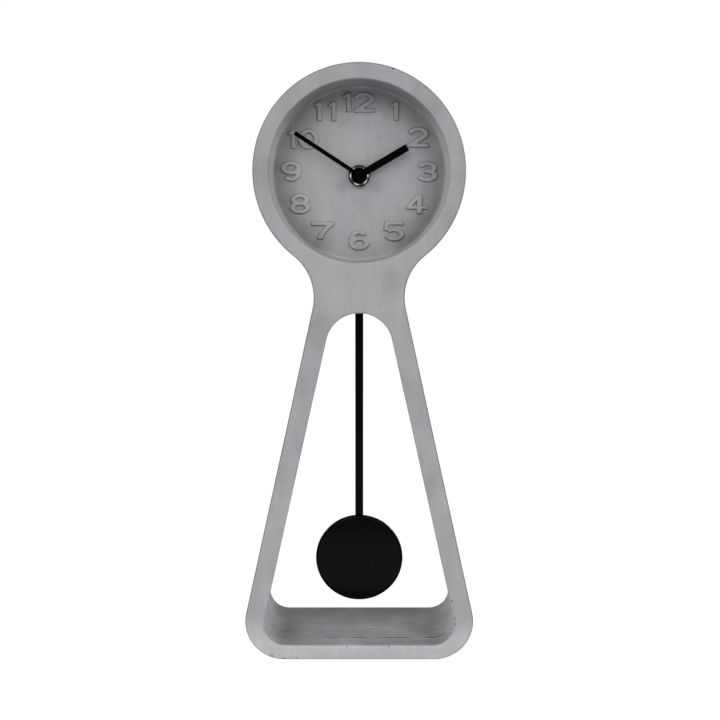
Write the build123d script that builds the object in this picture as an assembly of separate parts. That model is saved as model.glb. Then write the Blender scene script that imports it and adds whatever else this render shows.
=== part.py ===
from build123d import *
import math
import os

# Desk pendulum clock. A cast concrete body holds a battery movement behind its dial, and a flat rod with
# a domed bob hangs in the arched opening. Millimetres; the front faces -Y, +Z is up, and the origin is
# the middle of the footprint on the table. A depth is measured back from the body's front face.

# Cast body, seen from the front
body_height = 400.0
body_depth = 75.0
head_radius = 69.7
foot_half_width = 84.6
crown_half_width = 11.0
neck_radius = 34.8
foot_corner_radius = 26.6
edge_chamfer = 0.8

# Arched opening between the legs
opening_floor = 9.5
leg_foot_width = 15.5
arch_radius = 22.3
neck_height = 22.7
opening_corner_radius = 14.6

# Dial recess in front and movement pocket behind
recess_rim = 10.2
recess_taper = 2.0
dial_depth = 20.0
dial_wall = 9.0
pocket_gap = 1.3
channel_width = 20.0
channel_front_wall = 33.0
bush_clearance = 0.3

# Movement case
shaft_drop = 1.2
case_rise = 13.5
case_thickness = 17.0
case_wall = 1.2
case_corner_radius = 3.0
cover_lip = 1.0
cover_lip_depth = 2.0
cover_fit = 0.15
rubber_washer_radius = 14.0
rubber_washer_thickness = 1.0

# Threaded bush, its nut and washer on the dial
bush_radius = 3.95
bush_bore_clearance = 0.05
bush_flange_radius = 6.0
bush_flange_thickness = 0.7
bush_stand_out = 3.3
front_washer_radius = 6.7
front_washer_thickness = 0.5
nut_radius = 7.2
nut_thickness = 2.2
nut_bevel = 0.9

# Hands, seen from the front, with angles counted anticlockwise from three o'clock
minute_tip_gap = 6.4
minute_hand_width = 2.5
minute_hand_angle = 147.0
minute_hub_radius = 3.6
hour_tip_gap = 20.4
hour_hand_width = 3.5
hour_hand_angle = 30.0
hour_hub_radius = 5.2
hand_thickness = 0.5
hour_hand_gap = 0.4
minute_hand_gap = 1.1
cap_radius = 3.2
cap_thickness = 1.1
arbor_tip_radius = 1.2

# Arbors and the wheels on them
running_clearance = 0.05
layer_gap = 0.3
pipe_wall = 0.8
minute_arbor_radius = 1.65
minute_tail_radius = 0.8
motion_spindle_radius = 0.7
arbor_radius = 0.5
pivot_radius = 0.35
pivot_length = 1.2
pivot_hole_depth = 1.5
train_boss_radius = 1.0
wheel_thickness = 0.8
hour_wheel_thickness = 1.2
cannon_thickness = 1.6
pinion_overhang = 0.3
wheel_gap = 0.5
centre_hub_radius = 1.8
knob_radius = 5.0
knob_thickness = 3.0
knob_gap = 0.3
knob_ribs = 24
knob_groove_depth = 0.4

# Teeth: the count of the driving and the driven gear, and the distance between their arbors
cannon_teeth = 12
motion_wheel_teeth = 36
motion_pinion_teeth = 10
hour_wheel_teeth = 40
motion_distance = 9.9
motion_angle = -35.0
centre_wheel_teeth = 64
third_pinion_teeth = 8
third_distance = 9.6
third_angle = 180.0
third_wheel_teeth = 60
seconds_pinion_teeth = 8
seconds_distance = 7.0
seconds_angle = -100.0
seconds_wheel_teeth = 60
intermediate_pinion_teeth = 10
intermediate_distance = 7.0
intermediate_angle = -60.0
intermediate_wheel_teeth = 50
rotor_pinion_teeth = 10
rotor_distance = 6.5
rotor_angle = -20.0

# Addendum and dedendum in modules, then half the tooth's width at tip and root over the tooth pitch
wheel_tooth_shares = (0.85, 1.25, 0.11, 0.20)
pinion_tooth_shares = (0.65, 1.25, 0.12, 0.17)

# Gear plate on its four posts, placed about the hand shaft
gear_plate_gap = 0.4
gear_plate_thickness = 1.0
gear_plate_left = -19.5
gear_plate_right = 20.5
gear_plate_bottom = -22.0
gear_plate_top = 12.0
gear_plate_corner_radius = 3.0
post_radius = 1.5
post_left = -16.5
post_right = 17.5
post_top = 9.0
post_bottom_left = -19.0
post_bottom_right = -9.5

# Stepping motor, placed about the hand shaft
rotor_magnet_radius = 2.2
rotor_magnet_thickness = 2.0
rotor_air_gap = 0.4
stator_thickness = 1.0
stator_half_height = 3.6
stator_wall = 1.2
stator_right = 19.5
stator_leg_width = 4.0
core_height = -22.5
core_width = 2.5
core_post_radius = 1.2
core_post_inset = 2.0
coil_left = 3.0
coil_right = 14.0
coil_size = 5.5
coil_corner_radius = 1.0

# Circuit board strip at the right of the train, placed about the hand shaft
board_width = 5.6
board_side_gap = 0.5
board_bottom = -20.0
board_top = 12.0
board_thickness = 0.8
board_peg_radius = 1.2
board_peg_height = 4.8
board_peg_inset = 2.0
crystal_radius = 1.0
crystal_length = 6.0
crystal_top = 8.0

# Battery and its contacts
battery_radius = 7.25
battery_length = 50.5
battery_nub_radius = 2.75
battery_nub_length = 1.2
battery_clearance = 0.3
contact_thickness = 0.4
contact_half_height = 5.0
contact_gap = 0.1
spring_room = 4.6
spring_flat = 1.6
spring_lift = 2.0

# Pendulum: pivot pin and hanger inside the case, rod and bob below
pivot_drop = 33.6
pin_radius = 1.0
pin_boss_radius = 2.5
hanger_depth = 40.0
hanger_thickness = 3.0
hanger_width = 8.0
hanger_hub_radius = 3.0
hanger_hub_length = 6.0
hanger_hub_gap = 0.3
hanger_neck_length = 7.2
hanger_foot_length = 11.0
case_slot_width = 15.0
magnet_drop = 8.5
magnet_radius = 3.0
magnet_holder_radius = 4.2
magnet_thickness = 3.3
magnet_air_gap = 1.0
magnet_stand_out = 1.0
drive_coil_radius = 5.0
drive_coil_bore = 2.0
drive_coil_thickness = 3.5
drive_coil_gap = 0.1
rod_width = 5.7
rod_thickness = 1.0
rod_eye_rise = 4.0
rod_top_rise = 4.0
rod_peg_radius = 1.0
rod_peg_head_radius = 1.8
rod_peg_head_thickness = 0.8
rod_keyhole_radius = 2.0
rod_keyhole_drop = 3.5
bob_height = 59.8
bob_radius = 31.2
bob_thickness = 5.8
bob_crown = 3.0
bob_rim_round = 2.0
rim_bevel_angle = 45
dome_bands = 3
bob_sheet = 0.8
rod_foot_share = 0.6
clip_height = 8.0
clip_half_width = 10.0
clip_sheet = 0.5
clip_side_gap = 0.2

# Heights and depths that follow from the sizes above
head_height = body_height - head_radius
arch_height = head_height - head_radius - neck_height - arch_radius
opening_half_width = foot_half_width - leg_foot_width
recess_mouth_radius = head_radius - recess_rim
dial_radius = recess_mouth_radius - recess_taper
minute_hand_length = dial_radius - minute_tip_gap
hour_hand_length = dial_radius - hour_tip_gap
shaft_height = head_height - shaft_drop
pivot_height = shaft_height - pivot_drop
magnet_height = pivot_height - magnet_drop
pocket_floor = dial_depth + dial_wall
case_front = pocket_floor + rubber_washer_thickness
case_back = case_front + case_thickness
inner_front = case_front + case_wall
inner_back = case_back - case_wall
case_bottom = magnet_height - drive_coil_radius - drive_coil_gap - case_wall
inner_half_width = (battery_length + contact_thickness + contact_gap + spring_room) / 2
case_width = 2 * (inner_half_width + case_wall)
case_corner_centre = (case_width / 2 - case_corner_radius, case_bottom + case_corner_radius)
case_reach = math.dist(case_corner_centre, (0, head_height)) + case_corner_radius
pocket_radius = case_reach + pocket_gap
board_right = inner_half_width - board_side_gap
board_left = board_right - board_width
hanger_shoulder_height = case_bottom - hanger_neck_length
hanger_foot_height = hanger_shoulder_height - hanger_foot_length
rod_eye_height = hanger_foot_height + rod_eye_rise
rod_top_height = rod_eye_height + rod_top_rise
bay_bottom = shaft_height + case_rise + case_wall
bay_top = bay_bottom + 2 * (battery_radius + battery_clearance)
case_top = bay_top + case_wall
bush_front = dial_depth - bush_stand_out
hour_hand_back = bush_front - hour_hand_gap
hour_hand_front = hour_hand_back - hand_thickness
minute_hand_back = hour_hand_front - minute_hand_gap
minute_hand_front = minute_hand_back - hand_thickness

# Wheel layers, counted from the case front to the gear plate
hour_wheel_front = inner_front + layer_gap
hour_wheel_back = hour_wheel_front + hour_wheel_thickness
cannon_front = hour_wheel_back + layer_gap
cannon_back = cannon_front + cannon_thickness
motion_wheel_front = cannon_front + layer_gap
centre_wheel_front = cannon_back + layer_gap
third_wheel_front = centre_wheel_front + wheel_thickness + wheel_gap
seconds_wheel_front = third_wheel_front + wheel_thickness + wheel_gap
intermediate_wheel_front = seconds_wheel_front + wheel_thickness + wheel_gap
rotor_pinion_back = intermediate_wheel_front + wheel_thickness + pinion_overhang
plate_front = rotor_pinion_back + gear_plate_gap
plate_back = plate_front + gear_plate_thickness
rotor_magnet_back = intermediate_wheel_front - wheel_gap
rotor_magnet_front = rotor_magnet_back - rotor_magnet_thickness
stator_front = (rotor_magnet_front + rotor_magnet_back - stator_thickness) / 2
core_front = stator_front - stator_thickness
board_front = inner_front + board_peg_height

pipe_bore = minute_arbor_radius + running_clearance
pipe_radius = pipe_bore + pipe_wall
bush_bore = pipe_radius + bush_bore_clearance
hanger_front = hanger_depth - hanger_thickness / 2
hanger_back = hanger_depth + hanger_thickness / 2
knob_front = case_back + knob_gap
motion_pivot_front = case_front + case_wall / 2
rod_front = hanger_depth
rod_back = rod_front + rod_thickness
bob_back = rod_front
bob_front = bob_back - bob_thickness
hub_front = hanger_depth - hanger_hub_length / 2
hub_back = hanger_depth + hanger_hub_length / 2
magnet_front = inner_front + drive_coil_thickness + magnet_air_gap
holder_front = magnet_front + magnet_stand_out
bay_height = (bay_bottom + bay_top) / 2
battery_depth = inner_front + battery_clearance + battery_radius


def away(start, distance, angle):
    """Point at a distance from start, at an angle in degrees anticlockwise from +X as seen from the front."""
    turn = math.radians(angle)
    return (start[0] + distance * math.cos(turn), start[1] + distance * math.sin(turn))


shaft = (0, shaft_height)
motion_arbor = away(shaft, motion_distance, motion_angle)
third_arbor = away(shaft, third_distance, third_angle)
seconds_arbor = away(third_arbor, seconds_distance, seconds_angle)
intermediate_arbor = away(seconds_arbor, intermediate_distance, intermediate_angle)
rotor_arbor = away(intermediate_arbor, rotor_distance, rotor_angle)


# Basic forms

def y_at(depth):
    """Row Y of a depth behind the body's front face."""
    return depth - body_depth / 2


def slab(outline, front, back):
    """Solid of a front-view outline between two depths."""
    return extrude(Plane.XZ.offset(-y_at(back)) * outline, back - front)


def disc(radius, front, back, centre):
    """Round plate or shaft that runs front to back."""
    return slab(Pos(*centre) * Circle(radius), front, back)


def ring(radius, bore, front, back, centre):
    """Round plate or tube with a hole through it."""
    return slab(Pos(*centre) * (Circle(radius) - Circle(bore)), front, back)


def spun(profile, centre):
    """Solid turned about an axis that runs front to back; the profile's points are (radius, depth)."""
    base = Plane(origin=(centre[0], 0, centre[1]), x_dir=(1, 0, 0), z_dir=(0, 0, 1))
    points = [(radius, y_at(depth)) for radius, depth in profile]
    return revolve(base * make_face(Polyline(*points, close=True)), Axis((centre[0], 0, centre[1]), (0, 1, 0)))


def block(left, right, bottom, top, front, back):
    """Square block between two depths."""
    outline = Pos((left + right) / 2, (bottom + top) / 2) * Rectangle(right - left, top - bottom)
    return slab(outline, front, back)


def rounded_block(left, right, bottom, top, front, back, corner_radius):
    """Block whose corners are rounded as seen from the front."""
    outline = RectangleRounded(right - left, top - bottom, corner_radius)
    return slab(Pos((left + right) / 2, (bottom + top) / 2) * outline, front, back)


# Gears

def pitch_radii(driver_teeth, driven_teeth, distance):
    """Pitch radii of two gears in mesh."""
    return (
        distance * driver_teeth / (driver_teeth + driven_teeth),
        distance * driven_teeth / (driver_teeth + driven_teeth),
    )


def gear_outline(teeth, pitch_radius, lead, tooth_shares):
    """Toothed outline; lead is the angle of one tooth's middle, in degrees."""
    addendum_share, dedendum_share, tip_share, root_share = tooth_shares
    module = 2 * pitch_radius / teeth
    tip_radius = pitch_radius + addendum_share * module
    root_radius = pitch_radius - dedendum_share * module
    pitch_angle = 360 / teeth
    points = []
    for tooth in range(teeth):
        middle = lead + tooth * pitch_angle
        points.append(away((0, 0), root_radius, middle - root_share * pitch_angle))
        points.append(away((0, 0), tip_radius, middle - tip_share * pitch_angle))
        points.append(away((0, 0), tip_radius, middle + tip_share * pitch_angle))
        points.append(away((0, 0), root_radius, middle + root_share * pitch_angle))
    return make_face(Polyline(*points, close=True))


def meshed_lead(driver_teeth, driven_teeth, angle):
    """Lead of a driven gear whose driver, with lead 0, lies on the far side of a line at this angle."""
    return angle + 180 + angle * driver_teeth / driven_teeth + 180 / driven_teeth


def gear(teeth, pitch_radius, lead, tooth_shares, front, back, centre):
    """Solid gear between two depths."""
    return slab(Pos(*centre) * gear_outline(teeth, pitch_radius, lead, tooth_shares), front, back)


# Cast body

def tangent_point(start, centre, radius):
    """Right-hand point where a line from start touches a circle."""
    reach = math.dist(start, centre)
    base = math.degrees(math.atan2(start[1] - centre[1], start[0] - centre[0]))
    return away(centre, radius, base + math.degrees(math.acos(radius / reach)))


def body_outline():
    """Round head on two leaning legs, with a hollowed neck and rounded foot."""
    legs = make_face(Polyline(
        (-foot_half_width, 0),
        (foot_half_width, 0),
        (crown_half_width, head_height),
        (-crown_half_width, head_height),
        close=True,
    ))
    outline = legs + Pos(0, head_height) * Circle(head_radius)
    neck = [corner for corner in outline.vertices() if 0 < corner.Y < head_height]
    outline = fillet(neck, neck_radius)
    feet = outline.vertices().sort_by(Axis.Y)[:2]
    return fillet(feet, foot_corner_radius)


def opening_outline():
    """Tall opening with an arched top and rounded lower corners."""
    corner = (opening_half_width, opening_floor)
    touch = tangent_point(corner, (0, arch_height), arch_radius)
    outline = make_face(Polyline(
        (-corner[0], corner[1]),
        corner,
        touch,
        (-touch[0], touch[1]),
        close=True,
    ))
    outline = outline + Pos(0, arch_height) * Circle(arch_radius)
    return fillet(outline.vertices().sort_by(Axis.Y)[:2], opening_corner_radius)


def concrete_body():
    """The whole casting: frame, dial recess, movement pocket and the pendulum's channel in the neck."""
    head = (0, head_height)
    half_channel = channel_width / 2
    body = slab(body_outline() - opening_outline(), 0, body_depth)
    recess = [(0, 0), (recess_mouth_radius, 0), (dial_radius, dial_depth), (0, dial_depth)]
    body -= spun(recess, head)
    body -= disc(pocket_radius, pocket_floor, body_depth, head)
    body -= block(-half_channel, half_channel, arch_height, head_height, channel_front_wall, body_depth)
    by_depth = body.edges().group_by(Axis.Y)
    body = chamfer(by_depth[0] + by_depth[-1], edge_chamfer)
    return body - disc(bush_radius + bush_clearance, 0, body_depth, shaft)


# Bush, nut and washers that clamp the movement to the dial wall

def threaded_bush():
    """Bush from the case wall out through the dial, with a flange against the case."""
    flange_front = case_front - bush_flange_thickness
    bush = ring(bush_radius, bush_bore, bush_front, inner_front, shaft)
    return bush + ring(bush_flange_radius, bush_bore, flange_front, case_front, shaft)


def rubber_washer():
    """Soft washer between the case and the back of the dial wall."""
    bore = bush_flange_radius + bush_clearance
    return ring(rubber_washer_radius, bore, pocket_floor, case_front, shaft)


def front_washer():
    """Thin washer on the dial."""
    front = dial_depth - front_washer_thickness
    return ring(front_washer_radius, bush_radius, front, dial_depth, shaft)


def centre_nut():
    """Round nut with a bevelled front edge."""
    back = dial_depth - front_washer_thickness
    front = back - nut_thickness
    return spun([
        (bush_radius, back),
        (nut_radius, back),
        (nut_radius, front + nut_bevel),
        (nut_radius - nut_bevel, front),
        (bush_radius, front),
    ], shaft)


# Hands

def baton(length, width, angle, hub_radius, bore, front):
    """Square-ended hand with a round hub."""
    blade = Rot(0, 0, angle) * Pos(length / 2, 0) * Rectangle(length, width)
    outline = Circle(hub_radius) + blade - Circle(bore)
    return slab(Pos(*shaft) * outline, front, front + hand_thickness)


def minute_hand():
    """Long hand on the tip of the minute arbor."""
    return baton(
        minute_hand_length, minute_hand_width, minute_hand_angle,
        minute_hub_radius, arbor_tip_radius, minute_hand_front,
    )


def hour_hand():
    """Short hand pressed on the hour wheel's pipe."""
    return baton(
        hour_hand_length, hour_hand_width, hour_hand_angle,
        hour_hub_radius, pipe_radius, hour_hand_front,
    )


def hand_cap():
    """Domed cap nut that holds the minute hand."""
    crown = minute_hand_front - cap_thickness
    return spun([
        (0, crown),
        (cap_radius - cap_thickness, crown),
        (cap_radius, crown + cap_thickness / 2),
        (cap_radius, minute_hand_front),
        (0, minute_hand_front),
    ], shaft)


# Wheels behind the dial that drive the hands

def minute_arbor():
    """Long arbor with the cannon pinion, stepped down at the minute hand and behind the pinion."""
    pinion_radius, _ = pitch_radii(cannon_teeth, motion_wheel_teeth, motion_distance)
    stem = disc(minute_arbor_radius, minute_hand_back, cannon_back, shaft)
    tip = disc(arbor_tip_radius, minute_hand_front, minute_hand_back, shaft)
    tail = disc(minute_tail_radius, cannon_back, plate_back, shaft)
    pinion = gear(cannon_teeth, pinion_radius, 0, pinion_tooth_shares, cannon_front, cannon_back, shaft)
    return stem + tip + tail + pinion


def hour_wheel():
    """Hour wheel with the pipe that carries the hour hand."""
    _, wheel_radius = pitch_radii(motion_pinion_teeth, hour_wheel_teeth, motion_distance)
    lead = meshed_lead(motion_pinion_teeth, hour_wheel_teeth, motion_angle + 180)
    wheel = gear(
        hour_wheel_teeth, wheel_radius, lead, wheel_tooth_shares, hour_wheel_front, hour_wheel_back, shaft,
    )
    pipe = disc(pipe_radius, hour_hand_front, hour_wheel_back, shaft)
    return wheel + pipe - disc(pipe_bore, hour_hand_front, hour_wheel_back, shaft)


def motion_wheel():
    """Wheel between the cannon pinion and the hour wheel, on the arbor of the setting knob."""
    _, wheel_radius = pitch_radii(cannon_teeth, motion_wheel_teeth, motion_distance)
    pinion_radius, _ = pitch_radii(motion_pinion_teeth, hour_wheel_teeth, motion_distance)
    wheel = gear(
        motion_wheel_teeth, wheel_radius, meshed_lead(cannon_teeth, motion_wheel_teeth, motion_angle),
        wheel_tooth_shares, motion_wheel_front, motion_wheel_front + wheel_thickness, motion_arbor,
    )
    pinion = gear(
        motion_pinion_teeth, pinion_radius, 0, pinion_tooth_shares,
        hour_wheel_front, motion_wheel_front, motion_arbor,
    )
    spindle = disc(motion_spindle_radius, motion_wheel_front, knob_front, motion_arbor)
    return wheel + pinion + spindle + disc(pivot_radius, motion_pivot_front, hour_wheel_front, motion_arbor)


def set_knob():
    """Ribbed knob behind the case for setting the hands."""
    points = []
    for rib in range(knob_ribs):
        points.append(away((0, 0), knob_radius, rib * 360 / knob_ribs))
        points.append(away((0, 0), knob_radius - knob_groove_depth, (2 * rib + 1) * 180 / knob_ribs))
    grip = make_face(Polyline(*points, close=True))
    return slab(Pos(*motion_arbor) * grip, knob_front, knob_front + knob_thickness)


# Going train from the centre wheel to the rotor

def centre_wheel():
    """Wheel that slips on the minute arbor when the hands are set."""
    wheel_radius, _ = pitch_radii(centre_wheel_teeth, third_pinion_teeth, third_distance)
    wheel_back = centre_wheel_front + wheel_thickness
    hub_end = plate_front - layer_gap
    wheel = gear(
        centre_wheel_teeth, wheel_radius, 0, wheel_tooth_shares, centre_wheel_front, wheel_back, shaft,
    )
    hub = disc(centre_hub_radius, centre_wheel_front, hub_end, shaft)
    return wheel + hub - disc(minute_tail_radius + running_clearance, centre_wheel_front, hub_end, shaft)


def pinion_front(wheel_front):
    """Depth at which the pinion in front of a train wheel starts, just before the wheel that it meets."""
    return wheel_front - wheel_gap - wheel_thickness - pinion_overhang


def train_wheel(centre, wheel_teeth, wheel_radius, pinion_teeth, pinion_radius, pinion_lead, wheel_front):
    """Wheel and pinion on one arbor, with a fine pivot at each end."""
    front = pinion_front(wheel_front)
    wheel_back = wheel_front + wheel_thickness
    wheel = gear(wheel_teeth, wheel_radius, 0, wheel_tooth_shares, wheel_front, wheel_back, centre)
    pinion = gear(pinion_teeth, pinion_radius, pinion_lead, pinion_tooth_shares, front, wheel_front, centre)
    spindle = disc(arbor_radius, front, plate_front - layer_gap, centre)
    pivots = disc(pivot_radius, front - layer_gap - pivot_length, plate_back, centre)
    return wheel + pinion + spindle + pivots


def third_wheel():
    """First step up in speed from the centre wheel."""
    wheel_radius, _ = pitch_radii(third_wheel_teeth, seconds_pinion_teeth, seconds_distance)
    _, pinion_radius = pitch_radii(centre_wheel_teeth, third_pinion_teeth, third_distance)
    lead = meshed_lead(centre_wheel_teeth, third_pinion_teeth, third_angle)
    return train_wheel(
        third_arbor, third_wheel_teeth, wheel_radius, third_pinion_teeth, pinion_radius, lead,
        third_wheel_front,
    )


def seconds_wheel():
    """Wheel that turns once a minute."""
    wheel_radius, _ = pitch_radii(seconds_wheel_teeth, intermediate_pinion_teeth, intermediate_distance)
    _, pinion_radius = pitch_radii(third_wheel_teeth, seconds_pinion_teeth, seconds_distance)
    lead = meshed_lead(third_wheel_teeth, seconds_pinion_teeth, seconds_angle)
    return train_wheel(
        seconds_arbor, seconds_wheel_teeth, wheel_radius, seconds_pinion_teeth, pinion_radius, lead,
        seconds_wheel_front,
    )


def intermediate_wheel():
    """Wheel that the rotor's pinion drives."""
    wheel_radius, _ = pitch_radii(intermediate_wheel_teeth, rotor_pinion_teeth, rotor_distance)
    _, pinion_radius = pitch_radii(seconds_wheel_teeth, intermediate_pinion_teeth, intermediate_distance)
    lead = meshed_lead(seconds_wheel_teeth, intermediate_pinion_teeth, intermediate_angle)
    return train_wheel(
        intermediate_arbor, intermediate_wheel_teeth, wheel_radius, intermediate_pinion_teeth,
        pinion_radius, lead, intermediate_wheel_front,
    )


def rotor_pinion():
    """Pinion and arbor of the motor's rotor."""
    _, pinion_radius = pitch_radii(intermediate_wheel_teeth, rotor_pinion_teeth, rotor_distance)
    lead = meshed_lead(intermediate_wheel_teeth, rotor_pinion_teeth, rotor_angle)
    front = intermediate_wheel_front - pinion_overhang
    pinion = gear(
        rotor_pinion_teeth, pinion_radius, lead, pinion_tooth_shares, front, rotor_pinion_back, rotor_arbor,
    )
    spindle = disc(arbor_radius, rotor_magnet_front, plate_front - layer_gap, rotor_arbor)
    pivots = disc(pivot_radius, rotor_magnet_front - layer_gap - pivot_length, plate_back, rotor_arbor)
    return pinion + spindle + pivots


def rotor_magnet():
    """Round magnet pressed on the rotor's arbor."""
    return ring(rotor_magnet_radius, arbor_radius, rotor_magnet_front, rotor_magnet_back, rotor_arbor)


# Motor and electronics

def from_shaft(across, up):
    """Point given from the hand shaft."""
    return (shaft[0] + across, shaft[1] + up)


def motor_stator():
    """Iron plate around the rotor, with a leg down to each end of the coil core."""
    bore = rotor_magnet_radius + rotor_air_gap
    left = rotor_arbor[0] - bore - stator_wall
    top = rotor_arbor[1] + stator_half_height
    bottom = rotor_arbor[1] - stator_half_height
    foot = shaft_height + core_height - core_width / 2
    back = stator_front + stator_thickness
    plate = block(left, stator_right, bottom, top, stator_front, back)
    plate += block(left, left + stator_leg_width, foot, bottom, stator_front, back)
    plate += block(stator_right - stator_leg_width, stator_right, foot, bottom, stator_front, back)
    return plate - disc(bore, stator_front, back, rotor_arbor)


def core_left():
    """Left end of the coil core, flush with the stator."""
    return rotor_arbor[0] - rotor_magnet_radius - rotor_air_gap - stator_wall


def coil_core():
    """Iron bar across the stator's legs."""
    middle = shaft_height + core_height
    half = core_width / 2
    return block(core_left(), stator_right, middle - half, middle + half, core_front, stator_front)


def motor_coil():
    """Winding around the core."""
    middle = shaft_height + core_height
    base = Plane(origin=(coil_left, 0, middle), x_dir=(0, 1, 0), z_dir=(1, 0, 0))
    depth = y_at((core_front + stator_front) / 2)
    outline = RectangleRounded(coil_size, coil_size, coil_corner_radius)
    outline -= Rectangle(stator_front - core_front, core_width)
    return extrude(base * Pos(depth, 0) * outline, coil_right - coil_left)


def circuit_board():
    """Narrow board beside the train."""
    left, bottom = from_shaft(board_left, board_bottom)
    right, top = from_shaft(board_right, board_top)
    return block(left, right, bottom, top, board_front, board_front + board_thickness)


def quartz_crystal():
    """Small can that lies on the board."""
    across, top = from_shaft((board_left + board_right) / 2, crystal_top)
    depth = y_at(board_front + board_thickness + crystal_radius)
    return Pos(across, depth, top - crystal_length / 2) * Cylinder(crystal_radius, crystal_length)


def gear_plate():
    """Plate that holds the rear pivots of the train."""
    left, bottom = from_shaft(gear_plate_left, gear_plate_bottom)
    right, top = from_shaft(gear_plate_right, gear_plate_top)
    plate = rounded_block(left, right, bottom, top, plate_front, plate_back, gear_plate_corner_radius)
    plate -= disc(minute_tail_radius + running_clearance, plate_front, plate_back, shaft)
    plate -= disc(motion_spindle_radius + running_clearance, plate_front, plate_back, motion_arbor)
    for centre in (third_arbor, seconds_arbor, intermediate_arbor, rotor_arbor):
        plate -= disc(pivot_radius + running_clearance, plate_front, plate_back, centre)
    return plate


# Movement case

def train_boss(centre, back):
    """Boss on the case front with a blind hole for an arbor's front pivot."""
    boss = disc(train_boss_radius, inner_front, back, centre)
    return boss - disc(pivot_radius + running_clearance, back - pivot_hole_depth, back, centre)


def movement_front_shell():
    """Open-backed case: front wall, side walls, battery bay, and the posts and bosses inside."""
    half = case_width / 2
    well_top = bay_bottom - case_wall
    shell = rounded_block(-half, half, case_bottom, case_top, case_front, case_back, case_corner_radius)
    shell -= block(
        -inner_half_width, inner_half_width, case_bottom + case_wall, well_top, inner_front, case_back,
    )
    shell -= block(-inner_half_width, inner_half_width, bay_bottom, bay_top, inner_front, case_back)
    shell -= block(-half, half, case_bottom, well_top, inner_back, case_back)
    shell -= block(
        -case_slot_width / 2, case_slot_width / 2, case_bottom, case_bottom + case_wall,
        hanger_front - hanger_thickness / 2, inner_back,
    )
    for corner in (
        (post_left, post_top), (post_right, post_top),
        (post_left, post_bottom_left), (post_right, post_bottom_right),
    ):
        shell += disc(post_radius, inner_front, plate_front, from_shaft(*corner))
    for across in (core_left() + core_post_inset, stator_right - core_post_inset):
        shell += disc(core_post_radius, inner_front, core_front, from_shaft(across, core_height))
    for up in (board_bottom + board_peg_inset, board_top - board_peg_inset):
        peg = from_shaft((board_left + board_right) / 2, up)
        shell += disc(board_peg_radius, inner_front, board_front, peg)
    shell += train_boss(third_arbor, pinion_front(third_wheel_front) - layer_gap)
    shell += train_boss(seconds_arbor, pinion_front(seconds_wheel_front) - layer_gap)
    shell += train_boss(intermediate_arbor, pinion_front(intermediate_wheel_front) - layer_gap)
    shell += train_boss(rotor_arbor, rotor_magnet_front - layer_gap)
    pivot = (0, pivot_height)
    shell += ring(pin_boss_radius, pin_radius, inner_front, hub_front - hanger_hub_gap, pivot)
    shell -= disc(pivot_radius + running_clearance, case_front + case_wall / 3, inner_front, motion_arbor)
    return shell - disc(bush_radius, case_front, inner_front, shaft)


def movement_back_cover():
    """Cover behind the train, with a lip inside the walls and a boss for the pivot pin."""
    half = case_width / 2
    top = bay_bottom - case_wall - cover_fit
    lip_half = inner_half_width - cover_fit
    lip_bottom = case_bottom + case_wall + cover_fit
    lip_front = inner_back - cover_lip_depth
    cover = block(-half, half, case_bottom, top, inner_back, case_back)
    corners = cover.edges().filter_by(Axis.Y).sort_by(Axis.Z)[:2]
    cover = fillet(corners, case_corner_radius)
    lip = block(-lip_half, lip_half, lip_bottom, top, lip_front, inner_back)
    lip -= block(
        cover_lip - lip_half, lip_half - cover_lip, lip_bottom + cover_lip, top - cover_lip,
        lip_front, inner_back,
    )
    cover += lip
    cover += ring(pin_boss_radius, pin_radius, hub_back + hanger_hub_gap, inner_back, (0, pivot_height))
    return cover - disc(motion_spindle_radius + running_clearance, inner_back, case_back, motion_arbor)


# Battery and contacts

def battery():
    """Round cell lying across the bay, with its nub at the right."""
    right = inner_half_width - contact_thickness - contact_gap
    left = right - battery_length
    base = Plane(origin=(left, y_at(battery_depth), bay_height), x_dir=(0, 1, 0), z_dir=(1, 0, 0))
    cell = extrude(base * Circle(battery_radius), battery_length - battery_nub_length)
    return cell + extrude(base * Circle(battery_nub_radius), battery_length)


def battery_positive_contact():
    """Flat plate on the bay's right wall."""
    return block(
        inner_half_width - contact_thickness, inner_half_width,
        bay_height - contact_half_height, bay_height + contact_half_height,
        battery_depth - contact_half_height, battery_depth + contact_half_height,
    )


def battery_negative_contact():
    """Folded spring strip on the bay's left wall."""
    half_sheet = contact_thickness / 2
    wall = half_sheet - inner_half_width
    right = inner_half_width - contact_thickness - contact_gap
    touch = right - battery_length - contact_gap - half_sheet
    bend = Polyline(
        (wall, bay_height + contact_half_height),
        (wall, bay_height - contact_half_height),
        (touch, bay_height - spring_flat / 2),
        (touch, bay_height + spring_flat / 2),
        (touch - spring_lift, bay_height + contact_half_height),
    )
    strip = trace(bend, contact_thickness)
    return slab(strip, battery_depth - contact_half_height, battery_depth + contact_half_height)


# Pendulum drive and pendulum

def drive_coil():
    """Flat coil on the case front, before the pendulum's magnet."""
    back = inner_front + drive_coil_thickness
    return ring(drive_coil_radius, drive_coil_bore, inner_front, back, (0, magnet_height))


def pivot_pin():
    """Pin from the case front to the cover, for the hanger."""
    return disc(pin_radius, inner_front, inner_back, (0, pivot_height))


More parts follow.
